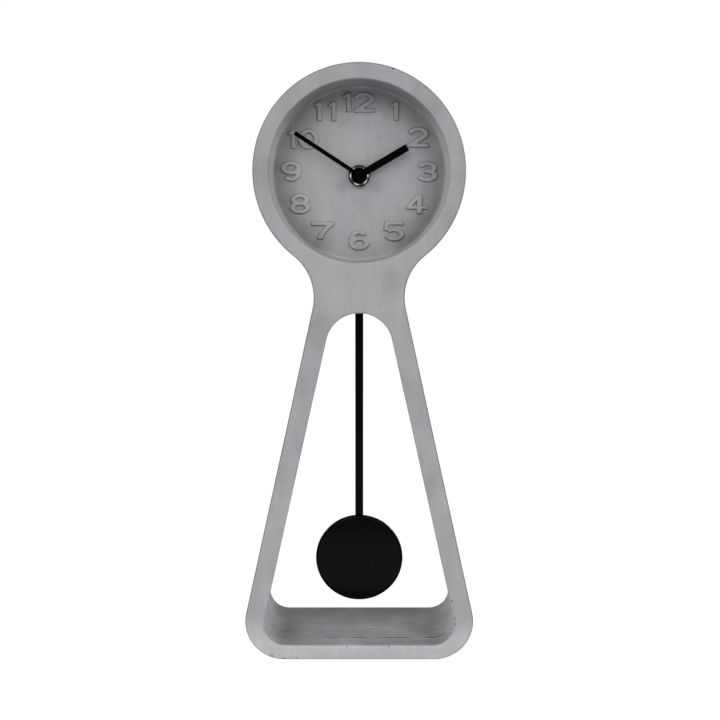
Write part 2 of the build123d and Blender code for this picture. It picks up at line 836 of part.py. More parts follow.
def pendulum_hanger():
    """Arm from the pivot pin down to a headed peg, with a round holder for the magnet."""
    half = hanger_width / 2
    pivot, magnet = (0, pivot_height), (0, magnet_height)
    arm = block(-half, half, hanger_shoulder_height, pivot_height, hanger_front, hanger_back)
    arm += block(-half, half, hanger_foot_height, hanger_shoulder_height, hanger_front, rod_front)
    arm += disc(half, hanger_front, hanger_back, pivot)
    arm += disc(hanger_hub_radius, hub_front, hub_back, pivot)
    arm += disc(magnet_holder_radius, holder_front, hanger_back, magnet)
    arm += disc(rod_peg_radius, rod_front, rod_back + rod_peg_head_thickness, (0, rod_eye_height))
    arm += disc(
        rod_peg_head_radius, rod_back, rod_back + rod_peg_head_thickness, (0, rod_eye_height),
    )
    arm -= disc(pin_radius + running_clearance, hub_front, hub_back, pivot)
    return arm - disc(magnet_radius, holder_front, magnet_front + magnet_thickness, magnet)


def pendulum_magnet():
    """Round magnet in the hanger."""
    return disc(magnet_radius, magnet_front, magnet_front + magnet_thickness, (0, magnet_height))


def pendulum_rod():
    """Flat rod with a keyhole at its top, down behind the bob."""
    half = rod_width / 2
    foot = bob_height - rod_foot_share * bob_radius
    rod = block(-half, half, foot, rod_top_height, rod_front, rod_back)
    keyhole = (0, rod_eye_height - rod_keyhole_drop)
    slot_radius = rod_peg_radius + running_clearance
    rod -= disc(slot_radius, rod_front, rod_back, (0, rod_eye_height))
    rod -= block(-slot_radius, slot_radius, keyhole[1], rod_eye_height, rod_front, rod_back)
    return rod - disc(rod_keyhole_radius, rod_front, rod_back, keyhole)


def domed_disc(radius, front, rim_round):
    """Solid disc with a domed front, in flat bands, and a twice bevelled rim."""
    ball_radius = (bob_radius ** 2 + bob_crown ** 2) / (2 * bob_crown)
    rim = radius - rim_round
    profile = []
    for band in range(dome_bands + 1):
        reach = rim * band / dome_bands
        profile.append((reach, front + ball_radius - math.sqrt(ball_radius ** 2 - reach ** 2)))
    shoulder = profile[-1][1]
    profile.append(away((rim, shoulder + rim_round), rim_round, -rim_bevel_angle))
    profile += [(radius, shoulder + rim_round), (radius, bob_back), (0, bob_back)]
    return spun(profile, (0, bob_height))


def pendulum_bob():
    """Pressed domed shell, open at the back."""
    shell = domed_disc(bob_radius, bob_front, bob_rim_round)
    return shell - domed_disc(bob_radius - bob_sheet, bob_front + bob_sheet, bob_rim_round - bob_sheet)


def bob_back_plate():
    """Flat plate inside the shell's rim."""
    return disc(bob_radius - bob_sheet, bob_back - bob_sheet, bob_back, (0, bob_height))


def bob_clip():
    """Bridge of thin sheet that holds the bob on the rod."""
    inner = rod_width / 2 + clip_side_gap
    outer = inner + clip_sheet
    foot_back = bob_back + clip_sheet
    points = [
        (-clip_half_width, bob_back), (-inner, bob_back), (-inner, rod_back), (inner, rod_back),
        (inner, bob_back), (clip_half_width, bob_back), (clip_half_width, foot_back),
        (outer, foot_back), (outer, rod_back + clip_sheet), (-outer, rod_back + clip_sheet),
        (-outer, foot_back), (-clip_half_width, foot_back),
    ]
    outline = make_face(Polyline(*[(across, y_at(depth)) for across, depth in points], close=True))
    return Pos(0, 0, bob_height - clip_height / 2) * extrude(outline, clip_height)


pieces = (
    concrete_body, threaded_bush, rubber_washer, front_washer, centre_nut,
    minute_hand, hour_hand, hand_cap, minute_arbor, hour_wheel, motion_wheel, set_knob,
    centre_wheel, third_wheel, seconds_wheel, intermediate_wheel, rotor_pinion, rotor_magnet,
    motor_stator, coil_core, motor_coil, circuit_board, quartz_crystal, gear_plate,
    movement_front_shell, movement_back_cover, battery, battery_positive_contact,
    battery_negative_contact, drive_coil, pivot_pin, pendulum_hanger, pendulum_magnet,
    pendulum_rod, pendulum_bob, bob_back_plate, bob_clip,
)

os.makedirs("parts", exist_ok=True)
for piece in pieces:
    export_step(piece(), f"parts/{piece.__name__}.step")
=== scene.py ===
import logging
import math
from dataclasses import dataclass, field
from enum import Enum
from typing import Callable, Iterable, Sequence

import bmesh
import bpy
import numpy as np
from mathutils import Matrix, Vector
from mathutils.geometry import delaunay_2d_cdt


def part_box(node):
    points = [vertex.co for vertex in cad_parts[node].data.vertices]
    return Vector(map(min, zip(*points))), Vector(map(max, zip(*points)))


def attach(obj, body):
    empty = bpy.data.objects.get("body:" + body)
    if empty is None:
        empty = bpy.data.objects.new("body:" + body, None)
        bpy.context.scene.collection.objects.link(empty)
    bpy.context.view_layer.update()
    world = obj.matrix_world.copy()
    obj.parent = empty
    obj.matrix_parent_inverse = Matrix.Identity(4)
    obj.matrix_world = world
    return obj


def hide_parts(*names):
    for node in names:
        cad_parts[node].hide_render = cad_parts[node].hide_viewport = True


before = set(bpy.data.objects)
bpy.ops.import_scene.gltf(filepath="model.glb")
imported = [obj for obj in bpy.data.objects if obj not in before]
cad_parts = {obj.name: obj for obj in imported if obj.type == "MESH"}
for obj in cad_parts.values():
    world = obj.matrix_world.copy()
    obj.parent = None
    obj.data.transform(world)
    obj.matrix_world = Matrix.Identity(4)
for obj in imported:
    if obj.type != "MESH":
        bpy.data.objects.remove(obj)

# Desk pendulum clock: the cast body, its raised numerals, the hands, the movement and the pendulum
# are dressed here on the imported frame. Sizes are in millimetres and become metres where a mesh is
# made. A place on the front view is (across, up); a depth is measured back from the body's front
# face. SPECK is the shortest length that counts, and FAR is longer than anything on the dial.
# Points closer than WELD become one. A round takes up SIDE_SHARE of the side next to it at most.
# HALF_DEPTH is half of the body's depth.

MM = 0.001
SPECK = 0.001
WELD = 1e-6
FAR = 99.0
SIDE_SHARE = 0.49
FLAT_WEIGHT = 90
HALF_DEPTH = 37.5
LOG = logging.getLogger("clock")
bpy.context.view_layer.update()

Point = tuple[float, float]
Place = tuple[float, float, float]
Colour = tuple[float, float, float]
Spot = tuple[float, float, float, float]
Field = np.ndarray
Item = bpy.types.Object
Material = bpy.types.Material
Socket = bpy.types.NodeSocket
Value = Socket | float | Colour


class Slot(Enum):
    """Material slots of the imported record."""

    CONCRETE = "cast_concrete"
    HANDS = "black_hands"
    CHROME = "dark_chrome"
    ROD = "black_rod"
    BOB = "black_bob"
    BLACK_PLASTIC = "black_plastic"
    WHITE_PLASTIC = "white_plastic"
    BRASS = "brass"
    STEEL = "steel"
    RUBBER = "rubber"
    WINDING = "copper_winding"
    BOARD = "board"
    CELL = "cell_jacket"
    MAGNET = "magnet"


class Blend(Enum):
    """Ways to lay one colour over another."""

    MIX = "MIX"
    MULTIPLY = "MULTIPLY"


class Axis(Enum):
    """Coordinates of a place."""

    ACROSS = 0
    BACK = 1
    UP = 2


# Front-view geometry

def away(start: Point, distance: float, angle: float) -> Point:
    """Point at a distance from start, at an angle in degrees anticlockwise from three o'clock."""
    turn = math.radians(angle)
    return (start[0] + distance * math.cos(turn), start[1] + distance * math.sin(turn))


def angle_of(across: float, up: float) -> float:
    """Angle of a direction, in degrees anticlockwise from three o'clock."""
    return math.degrees(math.atan2(up, across))


def arc(centre: Point, radius: float, first: float, last: float, step: float) -> list[Point]:
    """Points along an arc.

    Args:
        centre: Middle of the circle.
        radius: Radius of the circle.
        first: Angle of the first point, in degrees.
        last: Angle of the last point, in degrees.
        step: Longest distance between points.

    Returns:
        The points, both ends among them.
    """
    count = max(2, math.ceil(abs(math.radians(last - first)) * radius / step))
    return [
        away(centre, radius, first + (last - first) * share / count) for share in range(count + 1)
    ]


def spread(points: Sequence[Point], step: float) -> list[Point]:
    """Closed outline with points added along its long straight stretches.

    Args:
        points: Corners of the outline, in order.
        step: Longest distance between points.

    Returns:
        The filled outline.
    """
    dense: list[Point] = []
    for start, end in zip(points, [*points[1:], points[0]]):
        length = math.dist(start, end)
        if length < SPECK:
            continue
        count = max(1, math.ceil(length / step))
        for share in range(count):
            dense.append((
                start[0] + (end[0] - start[0]) * share / count,
                start[1] + (end[1] - start[1]) * share / count,
            ))
    return dense


def mirrored(right: Sequence[Point], step: float) -> list[Point]:
    """Closes the right half of an outline, which runs from bottom to top, with its mirror image."""
    left = [(-x, z) for x, z in reversed(right[1:-1])]
    return spread([*right, *left], step)


def outward(points: Sequence[Point]) -> list[Point]:
    """Unit normals that point out of a closed anticlockwise outline.

    Args:
        points: The outline.

    Returns:
        One normal per point.
    """
    normals: list[Point] = []
    for index, here in enumerate(points):
        before, after = points[index - 1], points[(index + 1) % len(points)]
        first = Vector((here[0] - before[0], here[1] - before[1])).normalized()
        second = Vector((after[0] - here[0], after[1] - here[1])).normalized()
        along = (first + second).normalized()
        normals.append((along.y, -along.x))
    return normals


def inward(points: Sequence[Point]) -> list[Point]:
    """Unit normals that point into a closed anticlockwise outline."""
    return [(-x, -z) for x, z in outward(points)]


def circle(centre: Point, radius: float, count: int) -> list[Point]:
    """Points of a full circle, anticlockwise, with the first at three o'clock."""
    return [away(centre, radius, 360 * share / count) for share in range(count)]


def crossings(ends: Field, spot: Vector) -> int:
    """Counts the edges that lie straight to the right of a place; an odd count means it is inside.

    Args:
        ends: Both ends of each edge, as rows of four numbers.
        spot: The place.

    Returns:
        The number of edges crossed.
    """
    x0, z0, x1, z1 = ends.T
    spans = (z0 > spot.y) != (z1 > spot.y)
    rise = np.where(spans, z1 - z0, 1.0)
    return int((spans & (x0 + (spot.y - z0) * (x1 - x0) / rise > spot.x)).sum())


def rounded_profile(corners: Sequence[Place], steps: int = 5) -> list[Point]:
    """Open profile whose corners are rounded.

    Args:
        corners: Points of (radius, depth, corner radius), in order.
        steps: Segments of each rounded corner.

    Returns:
        The profile's points.
    """
    points: list[Point] = []
    for index, (across, depth, size) in enumerate(corners):
        if size <= 0 or index in (0, len(corners) - 1):
            points.append((across, depth))
            continue
        here = Vector((across, depth))
        before = Vector(corners[index - 1][:2]) - here
        after = Vector(corners[index + 1][:2]) - here
        longest = SIDE_SHARE * min(before.length, after.length)
        reach = min(size / math.tan(before.angle(after) / 2), longest)
        start = here + before.normalized() * reach
        end = here + after.normalized() * reach
        for step in range(steps + 1):
            share = step / steps
            bend = start * (1 - share) ** 2 + here * 2 * share * (1 - share) + end * share ** 2
            points.append((bend.x, bend.y))
    return points


# Meshes

class Casting:
    """Collects loops of points and the skin between them into one mesh."""

    def __init__(self) -> None:
        """Starts an empty mesh."""
        self.places: list[Place] = []
        self.faces: list[tuple[int, ...]] = []

    def loop(self, points: Sequence[Point], depth: float) -> list[int]:
        """Adds one loop of points at a depth.

        Args:
            points: Front-view places.
            depth: Depth behind the front face.

        Returns:
            The points' numbers in the mesh.
        """
        first = len(self.places)
        self.places += [(x * MM, (depth - HALF_DEPTH) * MM, z * MM) for x, z in points]
        return list(range(first, len(self.places)))

    def skin(self, rings: Sequence[Sequence[int]]) -> None:
        """Joins closed loops of the same length by quads.

        Args:
            rings: Loops in order.
        """
        for near, far in zip(rings, rings[1:]):
            count = len(near)
            for index in range(count):
                after = (index + 1) % count
                self.faces.append((near[index], near[after], far[after], far[index]))

    def wall(
        self, points: Sequence[Point], air: Sequence[Point], profile: Iterable[Point],
        shift: Callable[[Point, float], Point] = lambda point, depth: point,
    ) -> list[list[int]]:
        """Sweeps a profile of (offset into the air, depth) round an outline.

        Args:
            points: The outline.
            air: Unit normals that point out of the material.
            profile: Offsets and depths, in order.
            shift: Moves each point of a loop at a depth.

        Returns:
            The loops that were made, in the profile's order.
        """
        rings = []
        for offset, depth in profile:
            moved = [(p[0] + n[0] * offset, p[1] + n[1] * offset) for p, n in zip(points, air)]
            rings.append(self.loop([shift(point, depth) for point in moved], depth))
        self.skin(rings)
        return rings

    def turned(self, profile: Iterable[Point], centre: Point, count: int) -> list[list[int]]:
        """Turns a profile of (radius, depth) about an axis that runs front to back.

        Args:
            profile: Radii and depths, in order; a radius of zero closes the end.
            centre: Place of the axis on the front view.
            count: Segments round the axis.

        Returns:
            The loops that were made, in the profile's order.
        """
        rings = [
            self.loop(circle(centre, max(radius, SPECK), count), depth) for radius, depth in profile
        ]
        self.skin(rings)
        return rings

    def fill(self, *loops: Sequence[int]) -> None:
        """Fills the flat region between an outer loop and the loops of its holes.

        Args:
            loops: Numbers of the points of each loop, the outer one first.
        """
        numbers = [number for loop in loops for number in loop]
        flat = [Vector((self.places[n][0] / MM, self.places[n][2] / MM)) for n in numbers]
        edges: list[tuple[int, int]] = []
        for loop in loops:
            start, count = len(edges), len(loop)
            edges += [(start + index, start + (index + 1) % count) for index in range(count)]
        spots, _, triangles, origin, _, _ = delaunay_2d_cdt(flat, edges, [], 0, WELD)
        ends = np.array([(*flat[near], *flat[far]) for near, far in edges])
        for triangle in triangles:
            middle = sum((spots[corner] for corner in triangle), Vector((0.0, 0.0))) / 3
            if crossings(ends, middle) % 2:
                self.faces.append(tuple(numbers[origin[corner][0]] for corner in triangle))

    def finished(self, name: str) -> Item:
        """Makes the named object, with its faces turned outwards.

        Args:
            name: Name of the piece.

        Returns:
            The linked object.
        """
        mesh = bpy.data.meshes.new(name)
        mesh.from_pydata(self.places, [], self.faces)
        body = bmesh.new()
        body.from_mesh(mesh)
        bmesh.ops.remove_doubles(body, verts=body.verts, dist=WELD)
        bmesh.ops.recalc_face_normals(body, faces=body.faces)
        body.to_mesh(mesh)
        body.free()
        smooth(mesh)
        return linked(mesh, name)


def smooth(mesh: bpy.types.Mesh) -> None:
    """Turns on smooth shading for every face."""
    for face in mesh.polygons:
        face.use_smooth = True


def linked(data: bpy.types.ID, name: str) -> Item:
    """Puts a mesh, lamp or camera in the scene.

    Args:
        data: The mesh, lamp or camera.
        name: Name of the object.

    Returns:
        The object.
    """
    item = bpy.data.objects.new(name, data)
    bpy.context.scene.collection.objects.link(item)
    return item


def settled(item: Item, angle: float = 40.0) -> Item:
    """Gives an object smooth shading that keeps its flats flat.

    Args:
        item: The object.
        angle: Edges sharper than this many degrees stay sharp.

    Returns:
        The same object.
    """
    item.data.set_sharp_from_angle(angle=math.radians(angle))
    weighted = item.modifiers.new("flats", "WEIGHTED_NORMAL")
    weighted.keep_sharp = True
    weighted.weight = FLAT_WEIGHT
    return item


def cut_away(item: Item, low: Sequence[float], high: Sequence[float]) -> None:
    """Cuts a block out of an object.

    Args:
        item: The object to cut.
        low: Lowest corner of the block, in millimetres of the row frame.
        high: Highest corner of the block.
    """
    body = bmesh.new()
    bmesh.ops.create_cube(body, size=1.0)
    for vertex in body.verts:
        for axis in range(3):
            share = vertex.co[axis] + 0.5
            vertex.co[axis] = (low[axis] + (high[axis] - low[axis]) * share) * MM
    mesh = bpy.data.meshes.new("tool")
    body.to_mesh(mesh)
    body.free()
    tool = linked(mesh, "tool")
    cut = item.modifiers.new("cut", "BOOLEAN")
    cut.operation = "DIFFERENCE"
    cut.solver = "EXACT"
    cut.object = tool
    with bpy.context.temp_override(object=item, active_object=item, selected_objects=[item]):
        bpy.ops.object.modifier_apply(modifier=cut.name)
    bpy.data.objects.remove(tool)


def spun(name: str, profile: Sequence[Point], centre: Point, count: int = 96) -> Item:
    """Turned piece about an axis that runs front to back.

    Args:
        name: Name of the piece.
        profile: Points of (radius, depth), in order.
        centre: Place of the axis on the front view.
        count: Segments round the axis.

    Returns:
        The linked object.
    """
    casting = Casting()
    casting.turned(profile, centre, count)
    return casting.finished(name)


# Nodes of a material or of the world

@dataclass(frozen=True)
class Ramp:
    """Smooth change from a first level to a last, while the input goes from low to high."""

    low: float
    high: float
    first: float = 0.0
    last: float = 1.0


@dataclass(frozen=True)
class Mottle:
    """Noise: the size of its patches, its seed and finer detail, and the part that shows."""

    size: float
    seed: float
    detail: float = 3.0
    rough: float = 0.5
    shown: Ramp = Ramp(0.3, 0.7)
    stretch: Place = (1.0, 1.0, 1.0)


@dataclass(frozen=True)
class Relief:
    """Depth of a bump in millimetres, and how much of it shows."""

    depth: float
    strength: float


class Nodes:
    """Short way to write the nodes of one tree."""

    def __init__(self, tree: bpy.types.NodeTree) -> None:
        """Takes the tree that the nodes go to."""
        self.tree = tree

    def node(self, kind: str, **settings: object) -> bpy.types.Node:
        """Adds a node.

        Args:
            kind: Blender's name of the node type.
            settings: Properties to set on it.

        Returns:
            The node.
        """
        made = self.tree.nodes.new(kind)
        for key, value in settings.items():
            setattr(made, key, value)
        return made

    def feed(self, socket: Socket, value: Value) -> None:
        """Links a socket or sets its value, whichever the value is.

        Args:
            socket: The input.
            value: A socket, number or colour.
        """
        if isinstance(value, bpy.types.NodeSocket):
            self.tree.links.new(value, socket)
        elif isinstance(value, tuple) and len(value) == 3 and socket.type == "RGBA":
            socket.default_value = (*value, 1.0)
        else:
            socket.default_value = value

    def math(self, operation: str, *values: Value) -> Socket:
        """Adds a math node.

        Args:
            operation: Name of the operation.
            values: Numbers or sockets, in order.

        Returns:
            The result.
        """
        made = self.node("ShaderNodeMath", operation=operation)
        for socket, value in zip(made.inputs, values):
            self.feed(socket, value)
        return made.outputs[0]

    def chained(self, operation: str, values: Sequence[Value]) -> Value:
        """Works through several values from left to right.

        Args:
            operation: Name of the operation.
            values: Numbers or sockets, in order.

        Returns:
            The result.
        """
        result = values[0]
        for value in values[1:]:
            result = self.math(operation, result, value)
        return result

    def times(self, *values: Value) -> Value:
        """Product of the values."""
        return self.chained("MULTIPLY", values)

    def plus(self, *values: Value) -> Value:
        """Sum of the values."""
        return self.chained("ADD", values)

    def less(self, *values: Value) -> Value:
        """First value less the others."""
        return self.chained("SUBTRACT", values)

    def size_of(self, value: Value) -> Socket:
        """Value without its sign."""
        return self.math("ABSOLUTE", value)

    def glow(self, kind: str, colour: Colour, strength: float) -> Socket:
        """Adds an emission or background shader.

        Args:
            kind: Blender's name of the node type.
            colour: Its colour.
            strength: Its strength.

        Returns:
            The shader.
        """
        made = self.node(kind)
        self.feed(made.inputs[0], colour)
        self.feed(made.inputs[1], strength)
        return made.outputs[0]

    def seen(self, gloss: float) -> Socket:
        """Mask of the rays that see the white background.

        Args:
            gloss: How much of the white a glossy ray sees.

        Returns:
            The mask.
        """
        rays = self.node("ShaderNodeLightPath").outputs
        glossy = self.times(rays["Is Glossy Ray"], gloss)
        shiny = self.math("MAXIMUM", rays["Is Camera Ray"], glossy)
        return self.math("MAXIMUM", shiny, rays["Is Transmission Ray"])

    def lay_over(self, share: Value, below: Socket, above: Socket, output: str) -> None:
        """Mixes two shaders and sends the mix to the tree's output.

        Args:
            share: How much of the upper shader shows.
            below: Lower shader.
            above: Upper shader.
            output: Name of the output node.
        """
        mix = self.node("ShaderNodeMixShader")
        for socket, value in zip(mix.inputs, (share, below, above)):
            self.feed(socket, value)
        self.feed(self.tree.nodes[output].inputs[0], mix.outputs[0])


class Sheet(Nodes):
    """Nodes of one material, around its principled shader."""

    noise_shift: Place = (0.731, 0.417, 0.293)
    cell_shift: Place = (0.517, 0.331, 0.619)

    def __init__(self, name: str) -> None:
        """Starts a material.

        Args:
            name: Name of the material.
        """
        self.material = bpy.data.materials.new(name)
        self.material.use_nodes = True
        super().__init__(self.material.node_tree)
        self.shader = self.tree.nodes["Principled BSDF"]
        self.place = self.node("ShaderNodeTexCoord").outputs["Object"]

    def mapped(self, seed: float, shift: Place, stretch: Place = (1.0, 1.0, 1.0)) -> Socket:
        """The place, moved to another part of an endless pattern.

        Args:
            seed: How far to move.
            shift: Direction to move in.
            stretch: Scale along each axis.

        Returns:
            The moved place.
        """
        made = self.node("ShaderNodeMapping")
        self.feed(made.inputs["Vector"], self.place)
        self.feed(made.inputs["Location"], tuple(seed * part for part in shift))
        self.feed(made.inputs["Scale"], stretch)
        return made.outputs[0]

    def noise(self, pattern: Mottle) -> Socket:
        """Adds a noise texture.

        Args:
            pattern: Its size, seed, detail and stretch.

        Returns:
            The noise, from zero to one.
        """
        made = self.node("ShaderNodeTexNoise")
        place = self.mapped(pattern.seed, self.noise_shift, pattern.stretch)
        self.feed(made.inputs["Vector"], place)
        self.feed(made.inputs["Scale"], 1 / (pattern.size * MM))
        self.feed(made.inputs["Detail"], pattern.detail)
        self.feed(made.inputs["Roughness"], pattern.rough)
        return made.outputs["Fac"]

    def mottle(self, pattern: Mottle) -> Socket:
        """Noise with the part that shows stretched onto its levels."""
        return self.ramp(self.noise(pattern), pattern.shown)

    def cells(self, size: float, seed: float) -> Socket:
        """Distance to the nearest of scattered points.

        Args:
            size: Mean spacing of the points, in millimetres.
            seed: Shift that gives another pattern.

        Returns:
            The distance, in spacings.
        """
        made = self.node("ShaderNodeTexVoronoi")
        self.feed(made.inputs["Vector"], self.mapped(seed, self.cell_shift))
        self.feed(made.inputs["Scale"], 1 / (size * MM))
        return made.outputs["Distance"]

    def ramp(self, value: Value, ramp: Ramp, unit: float = 1.0) -> Socket:
        """Stretches a range of values onto another, without going past its ends.

        Args:
            value: The input.
            ramp: Both ranges.
            unit: Size of one unit of the ramp's inputs.

        Returns:
            The stretched value.
        """
        made = self.node("ShaderNodeMapRange", clamp=True, interpolation_type="SMOOTHSTEP")
        self.feed(made.inputs["Value"], value)
        self.feed(made.inputs["From Min"], ramp.low * unit)
        self.feed(made.inputs["From Max"], ramp.high * unit)
        self.feed(made.inputs["To Min"], ramp.first)
        self.feed(made.inputs["To Max"], ramp.last)
        return made.outputs[0]

    def toned(self, mask: Value, level: float) -> Socket:
        """Factor that is one outside a mask and a level inside it."""
        return self.ramp(mask, Ramp(0.0, 1.0, 1.0, level))

    def axis(self, axis: Axis) -> Socket:
        """One coordinate of the place, in metres.

        Args:
            axis: Which one.

        Returns:
            The coordinate.
        """
        split = self.node("ShaderNodeSeparateXYZ")
        self.feed(split.inputs[0], self.place)
        return split.outputs[axis.value]

    def along(self, axis: Axis, ramp: Ramp) -> Socket:
        """Ramp along an axis, with its inputs in millimetres."""
        return self.ramp(self.axis(axis), ramp, MM)

    def stripes(self, axis: Axis, pitch: float) -> Socket:
        """Waves along an axis, from minus one to one, with their pitch in millimetres."""
        return self.math("SINE", self.times(self.axis(axis), 2 * math.pi / (pitch * MM)))

    def attribute(self, name: str) -> Socket:
        """Value that a mesh carries at its points."""
        return self.node("ShaderNodeAttribute", attribute_name=name).outputs["Fac"]

    def near(self, spot: Spot, soft: float) -> Socket:
        """Mask that is one inside a ball round a spot.

        Args:
            spot: Place in millimetres of the row frame, and the ball's radius.
            soft: Width of its soft edge.

        Returns:
            The mask.
        """
        made = self.node("ShaderNodeVectorMath", operation="DISTANCE")
        self.feed(made.inputs[0], self.place)
        self.feed(made.inputs[1], tuple(part * MM for part in spot[:3]))
        return self.ramp(made.outputs["Value"], Ramp(spot[3], spot[3] + soft, 1.0, 0.0), MM)

    def colour(self, first: Value, second: Value, share: Value, blend: Blend = Blend.MIX) -> Socket:
        """Lays one colour over another.

        Args:
            first: Colour below.
            second: Colour above.
            share: How much of the second shows.
            blend: How they combine.

        Returns:
            The combined colour.
        """
        made = self.node("ShaderNodeMix", data_type="RGBA", blend_type=blend.value)
        self.feed(made.inputs[0], share)
        self.feed(made.inputs[6], first)
        self.feed(made.inputs[7], second)
        return made.outputs[2]

    def bump(self, height: Value, relief: Relief, below: Socket | None = None) -> Socket:
        """Adds a bump.

        Args:
            height: Height from zero to one.
            relief: Depth of the full height, and its strength.
            below: Normal of a coarser bump under it.

        Returns:
            The bent normal.
        """
        made = self.node("ShaderNodeBump")
        self.feed(made.inputs["Strength"], relief.strength)
        self.feed(made.inputs["Distance"], relief.depth * MM)
        self.feed(made.inputs["Height"], height)
        if below is not None:
            self.feed(made.inputs["Normal"], below)
        return made.outputs[0]

    def finish(
        self, colour: Value, roughness: Value, gloss: float, normal: Socket | None = None,
        metallic: float = 0.0,
    ) -> Material:
        """Connects the shader.

        Args:
            colour: Base colour.
            roughness: Roughness.
            gloss: Specular level.
            normal: Bent normal.
            metallic: Metallic share.

        Returns:
            The material.
        """
        self.feed(self.shader.inputs["Base Color"], colour)
        self.feed(self.shader.inputs["Roughness"], roughness)
        self.feed(self.shader.inputs["Metallic"], metallic)
        self.feed(self.shader.inputs["Specular IOR Level"], gloss)
        if normal is not None:
            self.feed(self.shader.inputs["Normal"], normal)
        return self.material


# Finishes

@dataclass(frozen=True)
class Marks:
    """Scattered spots with one soft edge and one tone."""

    soft: float
    tone: float
    spots: tuple[Spot, ...]


